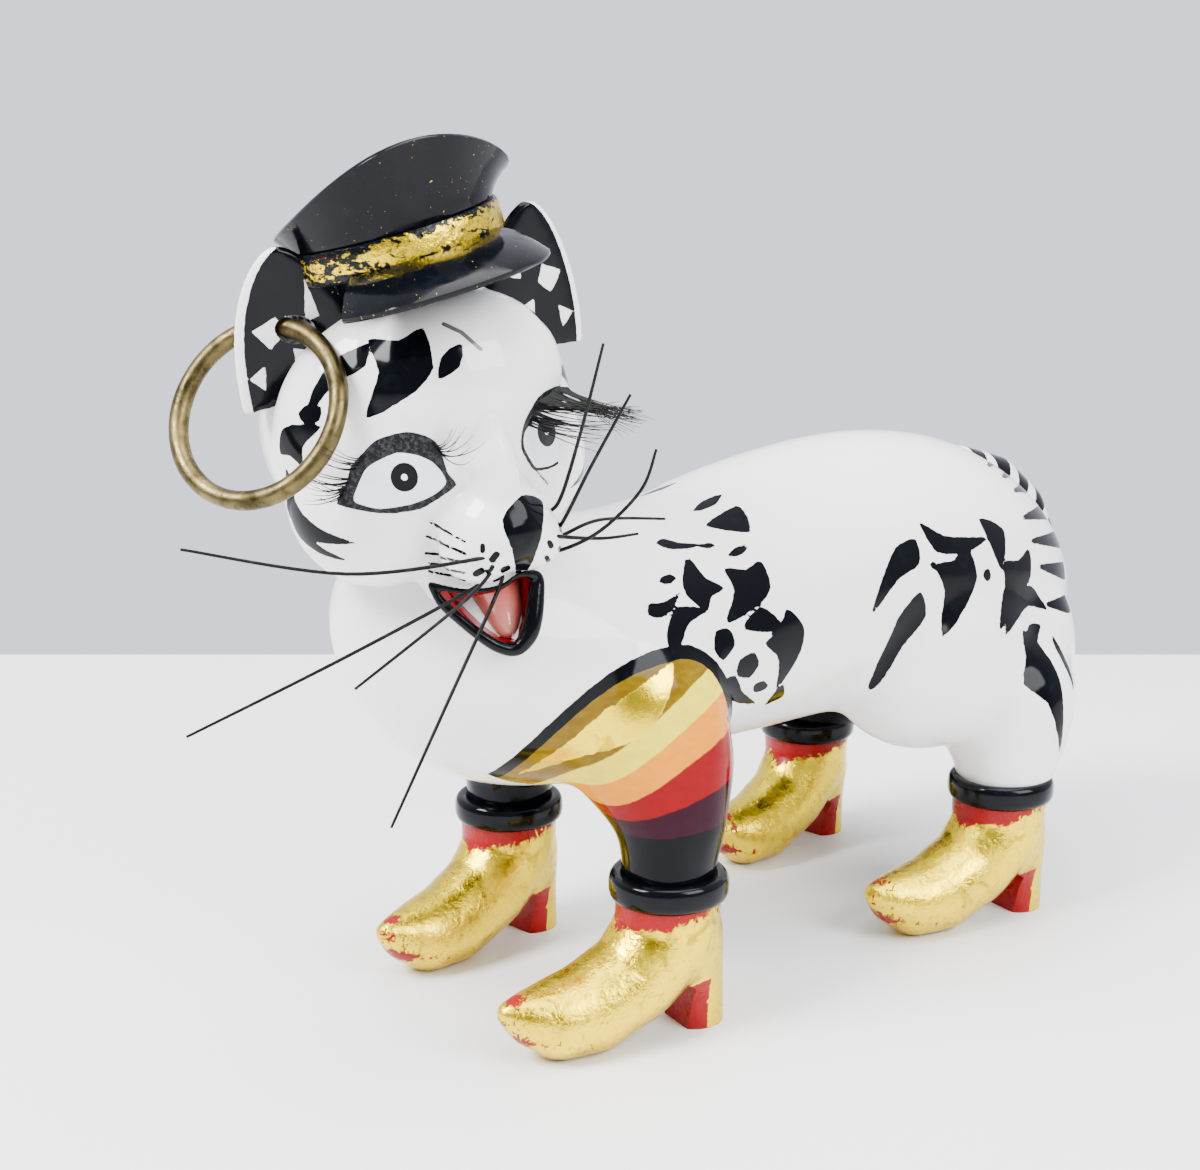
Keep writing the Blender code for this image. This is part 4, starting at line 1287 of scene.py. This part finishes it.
def make_tongue():
    """The tongue, from inside the mouth to its tip over the lower lip."""
    obj = start_clay("tongue")
    limb([(*drawn_out(*place_on), radius) for *place_on, radius in TONGUE], 0.5)
    close_clay()
    place(melt(obj, 0.25 * MM, 0.6 * MM), HEAD)
    up = points_of(obj, HEAD_INVERSE)[:, 2]
    store(obj, "tip", np.clip((-14 - up) / 7, 0, 1))
    finish_piece(smooth(obj, 60), FIGURE, "white_lacquer", tongue_finish())


class CAT_OT_head(bpy.types.Operator):
    """Carve the head, open its mouth and paint its face"""

    bl_idname = "cat.head"
    bl_label = "Head"

    def execute(self, context):
        obj = place(open_mouth(carve_head("head_skin")), HEAD)
        mark_head(obj)
        finish_piece(smooth(obj), FIGURE, "white_lacquer", head_finish(), "head")
        return {"FINISHED"}


class CAT_OT_mouth(bpy.types.Operator):
    """Make the black lips and the tongue"""

    bl_idname = "cat.mouth"
    bl_label = "Mouth"

    def execute(self, context):
        make_lips()
        make_tongue()
        return {"FINISHED"}


# ---------------------------------------------------------------- ears and cap

EAR_HEIGHT = 18.5
EAR_LEVELS = (0, 0.1, 0.2, 0.3, 0.4, 0.5, 0.6, 0.7, 0.78, 0.85, 0.9, 0.94, 0.97, 0.99)
EAR_BOW = 2.6
EAR_HALF_WIDTH = 7.6
EAR_BORE = 1.75
# White gaps in the black of an ear, across and up from its foot.
EAR_GAPS = [
    [(1.6, 9.2), (2.6, 14.2), (3.4, 9.6)],
    [(-4.6, 9.4), (-1.6, 10.6), (-1.0, 8.4), (-3.0, 6.8)],
    [(-0.6, 2.2), (2.2, 1.6), (1.8, 5.6), (-0.4, 6.4)],
    [(-6.2, 4.0), (-4.0, 5.2), (-4.6, 2.2)],
]


def ear_taper(share):
    """How an ear narrows from its foot at 0 to its tip at 1."""
    return (1 - share**2.2) ** 0.6


def ear_ring(share, count=40):
    """A crescent section of the ear: hollow in front, rounded behind."""
    half = (EAR_HALF_WIDTH + 0.2) * ear_taper(share)
    thick = 3.4 * (1 - share) + 1.5
    ring = []
    for angle in round_angles(count):
        y = half * math.cos(angle)
        x = thick / 2 * math.sin(angle) - EAR_BOW * (1 - share) * (1 - (y / EAR_HALF_WIDTH) ** 2)
        ring.append((x, y, EAR_HEIGHT * share))
    return ring


def mark_ear(obj, side):
    """Stores the black of an ear's hollow, with white gaps in it and a white outer edge."""
    front, across, up = points_of(obj).T
    hollow = front + EAR_BOW * (1 - up / EAR_HEIGHT) * (1 - (across / EAR_HALF_WIDTH) ** 2)
    flat = np.stack([across * -side, up], axis=1)
    ink = -hollow - 0.35
    for outline in EAR_GAPS:
        ink = np.maximum(ink, -inside_outline(flat, outline))
    half = EAR_HALF_WIDTH * ear_taper(np.clip(up / EAR_HEIGHT, 0, 1))
    store(obj, "ink", np.maximum(ink, 1.0 - (half - across * side)))


def ear_place(side):
    """An ear's own frame on the skull."""
    return (
        HEAD
        @ Matrix.Translation(Vector((1.2, side * 14.8 - 1.4, 9)) * MM)
        @ Matrix.Rotation(-side * math.radians(4), 4, "X")
        @ Matrix.Rotation(side * math.radians(12), 4, "Z")
    )


class CAT_OT_ears(bpy.types.Operator):
    """Shape the two cupped ears, bore the right one for the ring and paint them"""

    bl_idname = "cat.ears"
    bl_label = "Ears"

    def execute(self, context):
        paint = ear_finish()
        for name, side in (("left_ear", 1), ("right_ear", -1)):
            obj = skinned(name + "_shell", [ear_ring(share) for share in EAR_LEVELS])
            apply(obj, "REMESH", mode="VOXEL", voxel_size=0.3 * MM)
            apply(obj, "SMOOTH", factor=0.5, iterations=6)
            mark_ear(obj, side)
            place(obj, ear_place(side))
            if side < 0:
                ends = [HOOP_PIVOT + HOOP_AXIS * reach for reach in (-5, 5)]
                cut(obj, wire("bore", [[(p * MM, EAR_BORE * MM) for p in ends]], 8))
            finish_piece(smooth(obj, 50), FIGURE, "black_lacquer", paint, name)
        return {"FINISHED"}


CAP_HALF_LENGTH = 11.5
CAP_HALF_WIDTH = 12
CROWN_LEVELS = (0.03, 0.15, 0.3, 0.45, 0.6, 0.74, 0.85, 0.93, 0.98, 1)
# How the crown's top closes: a share of the rim's size, and how far it is lifted.
CROWN_TOP = ((0.985, 0.35), (0.955, 0.55), (0.9, 0.65), (0.75, 0.75), (0.5, 0.95), (0.2, 1.1))
# The band's section: how far out from its outline, and height.
BAND_SECTION = ((-1.2, -3.6), (0.25, -3.6), (0.5, -3.3), (0.55, -1.8), (0.5, -0.5), (0.3, 0.0), (-1.2, 0.0))
BAND_OUT = 0.55
PEAK_ANGLES = (-44, 46)
PEAK_REACH = 7.6


def oval_point(grow, angle, z):
    """A point about the cap's own axis, a little outside the band's outline."""
    return (CAP_HALF_LENGTH + grow) * math.cos(angle), (CAP_HALF_WIDTH + grow) * math.sin(angle), z


def oval(grow, z):
    """A level oval about the cap's own axis."""
    return [oval_point(grow, angle, z) for angle in round_angles(72)]


def cap_ring(share):
    """A level of the crown, from the band at 0 to the rim at 1. The front stands tallest."""
    ring = []
    bell = share**1.4
    for angle in round_angles(72):
        rise = 1.0 + 8.0 * ((1 + math.cos(angle + 0.09)) / 2) ** 2.8
        x = CAP_HALF_LENGTH * (1 + 0.26 * bell) * math.cos(angle)
        y = CAP_HALF_WIDTH * (1 + 0.15 * bell) * math.sin(angle) + 0.9 * bell
        ring.append((x, y, rise * share))
    return ring


def make_crown(paint):
    """The crown, from inside the band over the rim to its dished top."""
    rings = [oval(-2.4, -7), oval(-0.4, -0.6)] + [cap_ring(share) for share in CROWN_LEVELS]
    rim = rings[-1]
    for share, lift in CROWN_TOP:
        rings.append([(x * share, y * share, z * share + (1 - share) * 4.5 + lift * 0.8) for x, y, z in rim])
    crown = place(skinned("crown", rings), CAP)
    finish_piece(smooth(crown, 50), FIGURE, "black_lacquer", paint, "cap_crown")


def make_band():
    """The band, whose leaf is most worn at its edges and on the right."""
    rings = [[oval_point(out, angle, z) for out, z in BAND_SECTION] for angle in round_angles(96)]
    band = skinned("band", rings, closed=True)
    only(band)
    bpy.ops.object.mode_set(mode="EDIT")
    bpy.ops.mesh.select_all(action="SELECT")
    bpy.ops.mesh.subdivide(number_cuts=1)
    close_clay()
    _, left, up = points_of(band).T
    edges, right = np.clip(np.abs(up + 1.8) - 1, 0, 1), np.clip((-left - 6.5) / 2, 0, 1)
    store(band, "wear", 0.03 + 0.2 * edges + 0.09 * right)
    place(band, CAP)
    finish_piece(smooth(band, 50), FIGURE, "gold_leaf", leaf_finish("band_leaf", True), "cap_band")


def peak_section(angle):
    """The peak's section at an angle round the cap: out from the band, and height."""
    reach = PEAK_REACH * max(0.0, math.cos(angle * 1.55)) ** 0.6 + 0.9
    top, under = [], []
    for k in range(9):
        t = k / 8
        arch = -2.9 - 0.9 * t - 1.9 * t**2.2
        top.append((reach * t, arch))
        under.append((reach * t, arch - 1.25 + 0.35 * t))
    edge = [(reach + 0.35, top[-1][1] - 0.3), (reach + 0.3, under[-1][1] + 0.25)]
    return [(-1.5, -2.9)] + top + edge + under[::-1] + [(-1.5, -4.3)]


def make_peak(paint):
    """The curved peak, which droops a little at its sides."""
    rings = []
    first, last = PEAK_ANGLES
    count = 49
    for i in range(count):
        angle = math.radians(first + (last - first) * i / (count - 1))
        droop = 0.2 * (1 - math.cos(angle))
        rings.append([oval_point(BAND_OUT + out, angle, z - droop * out) for out, z in peak_section(angle)])
    peak = place(skinned("peak", rings), CAP)
    finish_piece(smooth(peak, 45), FIGURE, "black_lacquer", paint, "cap_peak")


class CAT_OT_cap(bpy.types.Operator):
    """Turn the cap's crown, its gilded band and its curved peak"""

    bl_idname = "cat.cap"
    bl_label = "Cap"

    def execute(self, context):
        paint = black_finish("cap_lacquer", flecks=0.6)
        make_crown(paint)
        make_band()
        make_peak(paint)
        return {"FINISHED"}


# ---------------------------------------------------------------- hoop, whiskers and lashes


class CAT_OT_hoop(bpy.types.Operator):
    """Bend the brass ring and hang it in the ear"""

    bl_idname = "cat.hoop"
    bl_label = "Hoop earring"

    def execute(self, context):
        # The ring's centreline passes through the pivot, and its plane holds the axis it swings about.
        centre = middle("earring_hoop") / MM
        hang = centre - HOOP_PIVOT
        ring_radius = hang.length
        side, up = HOOP_AXIS, hang.normalized()
        face = side.cross(up)
        wire_radius = sizes().hoop_wire / MM
        rings = []
        for a in round_angles(144):
            out = side * math.cos(a) + up * math.sin(a)
            swell = wire_radius * (1 + 0.02 * math.sin(3 * a + 0.6) + 0.012 * math.sin(7 * a))
            ring = []
            for b in round_angles(28):
                ring.append(centre + out * (ring_radius + swell * math.cos(b)) + face * swell * math.sin(b))
            rings.append(ring)
        obj = skinned("brass_ring", rings, closed=True)
        finish_piece(smooth(obj, 60), EARRING, "aged_brass", brass_finish(), "earring_hoop")
        return {"FINISHED"}


# Each whisker's route from inside its pad to its tip, in the head's frame.
WHISKERS = {
    "right_whisker_1": [(18.9, -4.2, -8.4), (20.5, -4.4, -8.4), (18, -20, -7), (14, -37, -0.8)],
    "right_whisker_2": [(15.6, -3.2, -12.4), (17.2, -4, -13), (18, -22, -17), (18, -41.1, -21)],
    "right_whisker_3": [(18.6, -3, -10), (20.3, -3.6, -10.6), (24, -9.6, -12), (26, -23.5, -17.3)],
    "right_whisker_4": [(16, -0.8, -13), (17.4, -1.6, -14.1), (22, -12, -25), (26, -21.8, -35.6)],
    "left_whisker_1": [(15.4, 5.4, -6.6), (17, 7.5, -5.5), (21.5, 9.2, 4), (25, 11.4, 14.8)],
    "left_whisker_2": [(16.4, 5.6, -9), (18, 7, -8), (22, 10, 0), (25.5, 14, 8.4)],
    "left_whisker_3": [(15.8, 5.2, -11), (17, 7, -11.5), (22, 10.3, -8.3), (25, 14.6, -3.4), (26, 16.5, 1.4)],
    "left_whisker_4": [(16.4, 4.6, -9.6), (17.5, 7, -9.5), (18, 12.4, -8.6), (18, 21.2, -10.7)],
    "left_whisker_5": [(18.4, 4.4, -8.2), (19.9, 5.5, -8.4), (17.5, 12.5, -11.2), (17, 17.8, -12.1)],
}


class CAT_OT_whiskers(bpy.types.Operator):
    """Draw the nine wire whiskers"""

    bl_idname = "cat.whiskers"
    bl_label = "Whiskers"

    def execute(self, context):
        paint = bristle_finish()
        radius = sizes().whisker_radius
        for name, route in WHISKERS.items():
            points = [HEAD @ (Vector(p) * MM) for p in catmull(route, 10)]
            last = len(points) - 1
            tapered = [(p, radius * (1 - 0.35 * (i / last) ** 2)) for i, p in enumerate(points)]
            obj = wire(name + "_wire", [tapered], 3)
            finish_piece(obj, FIGURE, "bristle", paint, name)
        return {"FINISHED"}


def lash_hairs(fans, seed):
    """Hairs in fans. A fan is two roots, two tips, a lift and a count, in the head's frame."""
    draw = random.Random(seed)
    hairs = []
    for root_a, root_b, tip_a, tip_b, lift, count in fans:
        for i in range(count):
            t = (i + draw.random() * 0.9) / count
            root = Vector(root_a).lerp(Vector(root_b), t)
            tip = Vector(tip_a).lerp(Vector(tip_b), min(1, max(0, t + draw.uniform(-0.15, 0.15))))
            tip += Vector([draw.uniform(-1, 1) for _ in range(3)])
            bend = Vector((0, 0, lift * draw.uniform(0.6, 1.3)))
            route = []
            for k in range(7):
                s = k / 6
                p = root.lerp(tip, s) + bend * (4 * s * (1 - s))
                route.append((HEAD @ (p * MM), (0.075 * (1 - s) + 0.02) * MM))
            hairs.append(route)
    return hairs


# The right eye's fans and the left eye's.
NEAR_LASHES = [
    ((10.6, -15.6, 1.4), (10.0, -16.6, -0.6), (11.5, -21.5, 4.4), (9.8, -20.4, -0.6), -0.6, 15),
    ((12.0, -13.8, 4.0), (10.8, -15.2, 2.2), (14.5, -18.9, 7.2), (12.5, -20.8, 5.2), -0.5, 7),
    ((15.2, -6.8, 4.8), (15.2, -5.6, 3.0), (20, -5.4, 7.8), (20.5, -3.0, 4.4), -0.9, 10),
]
FAR_LASHES = [
    ((15.2, 5.4, 4.2), (15.2, 7.2, 6.8), (20, 12, 1.4), (20.5, 15.4, 5.6), -0.5, 26),
    ((15.2, 7.2, 6.8), (12.8, 10.8, 7.2), (20.5, 16.0, 5.2), (19.5, 18.6, 2.6), -0.6, 34),
    ((12.6, 10.8, 7.2), (9.4, 13.8, 5.8), (19.5, 18.6, 4.4), (17.0, 17.8, 0.8), -0.5, 20),
]


class CAT_OT_lashes(bpy.types.Operator):
    """Set the eyelashes hair by hair"""

    bl_idname = "cat.lashes"
    bl_label = "Eyelashes"

    def execute(self, context):
        paint = bristle_finish()
        for name, fans, seed in (("right_lashes", NEAR_LASHES, 3), ("left_lashes", FAR_LASHES, 5)):
            obj = wire(name + "_hairs", lash_hairs(fans, seed), 0)
            finish_piece(obj, FIGURE, "bristle", paint, name)
        return {"FINISHED"}


class CAT_OT_pins(bpy.types.Operator):
    """Give the hidden pins their drawn steel"""

    bl_idname = "cat.pins"
    bl_label = "Pins"

    def execute(self, context):
        paint = steel_finish()
        for name, node in frame["nodes"].items():
            if name.endswith("_pin"):
                node.data.materials.clear()
                node.data.materials.append(paint)
        return {"FINISHED"}


# ---------------------------------------------------------------- stage


# Which way the camera and the floor face: a turn from +Y towards -X.
HEADING = math.radians(51.2)
HORIZON = 0.165
LAMPS = [
    ("window", (-0.1, -0.55, 0.6), 0.3, 17.0, (1.0, 0.99, 0.98)),
    ("side", (0.6, 0.1, 0.45), 0.4, 9.0, (0.97, 0.98, 1.0)),
    ("top", (0.05, 0.0, 0.8), 0.6, 10.5, (1.0, 1.0, 1.0)),
]
LAMP_AIM = Vector((0, -0.02, 0.05))


def lay_floor():
    """A pale square that faces the camera; its far edge is the horizon."""
    near, wide = 0.9, 2.2
    bpy.ops.mesh.primitive_plane_add(size=1)
    floor = bpy.context.object
    floor.name = "floor"
    centre = Matrix.Rotation(HEADING, 4, "Z") @ Matrix.Translation((0, (HORIZON - near) / 2, 0))
    place(floor, centre @ Matrix.Diagonal((wide, HORIZON + near, 1, 1)))
    f = Finish("pale_floor")
    tone = f.blend(f.noise(60, 3), grey(0.80), (0.78, 0.78, 0.79, 1))
    floor.data.materials.append(f.done(Base_Color=tone, Roughness=0.42))


def light_room():
    """A soft room, bright behind the figure and dim in front of it."""
    world = bpy.data.worlds.new("soft_room")
    bpy.context.scene.world = world
    world.use_nodes = True
    room = Nodes(world.node_tree)
    towards = room.node("ShaderNodeTexCoord", {}, {}, "Generated")
    away = (-0.743, 0.669, 0.25)
    ahead = room.node("ShaderNodeVectorMath", {"operation": "DOT_PRODUCT"}, {0: towards, 1: away}, "Value")
    share = room.node("ShaderNodeMapRange", {}, {"Value": ahead, "From Min": -0.5, "From Max": 0.35})
    background = room.tree.nodes["Background"]
    room.link(room.blend(share, (0.26, 0.26, 0.28, 1), (0.85, 0.86, 0.96, 1)), background.inputs["Color"])
    room.link(1.55, background.inputs["Strength"])


def hang_lamps():
    """Three soft lamps."""
    for name, where, size, power, tint in LAMPS:
        bpy.ops.object.light_add(type="AREA", location=where)
        lamp = bpy.context.object
        lamp.name = name
        lamp.data.size = size
        lamp.data.energy = power
        lamp.data.color = tint
        lamp.rotation_euler = (LAMP_AIM - Vector(where)).to_track_quat("-Z", "Y").to_euler()


def set_camera():
    """The camera, with everything in focus."""
    bpy.ops.object.camera_add(location=(0.183765, -0.165485, 0.1107))
    camera = bpy.context.object
    camera.rotation_euler = (math.radians(77.2), 0, HEADING)
    camera.data.lens = 53.3
    camera.data.sensor_width = 36
    camera.data.clip_start = 0.01
    bpy.context.scene.camera = camera


class CAT_OT_stage(bpy.types.Operator):
    """Set the pale floor, the soft lights and the camera"""

    bl_idname = "cat.stage"
    bl_label = "Stage"

    def execute(self, context):
        lay_floor()
        light_room()
        hang_lamps()
        set_camera()
        return {"FINISHED"}


STEPS = (
    CAT_OT_body, CAT_OT_tail, CAT_OT_boots, CAT_OT_cuffs, CAT_OT_head, CAT_OT_mouth, CAT_OT_ears,
    CAT_OT_cap, CAT_OT_hoop, CAT_OT_whiskers, CAT_OT_lashes, CAT_OT_pins, CAT_OT_stage,
)


class CAT_PT_panel(bpy.types.Panel):
    """Lists every step of the figurine"""

    bl_label = "Booted cat"
    bl_idname = "CAT_PT_panel"
    bl_space_type = "VIEW_3D"
    bl_region_type = "UI"
    bl_category = "Cat"

    def draw(self, context):
        for group in (context.scene.cat_sizes, context.scene.cat_colours):
            for name in group.bl_rna.properties.keys():
                if name not in {"rna_type", "name"}:
                    self.layout.prop(group, name)
        for step in STEPS:
            self.layout.operator(step.bl_idname)


CLASSES = (CatSizes, CatColours, *STEPS, CAT_PT_panel)


def register():
    for cls in CLASSES:
        bpy.utils.register_class(cls)
    bpy.types.Scene.cat_sizes = bpy.props.PointerProperty(type=CatSizes)
    bpy.types.Scene.cat_colours = bpy.props.PointerProperty(type=CatColours)


def unregister():
    del bpy.types.Scene.cat_sizes
    del bpy.types.Scene.cat_colours
    for cls in reversed(CLASSES):
        bpy.utils.unregister_class(cls)


def main():
    register()
    for step in STEPS:
        group, name = step.bl_idname.split(".")
        getattr(getattr(bpy.ops, group), name)()


if __name__ == "__main__":
    main()
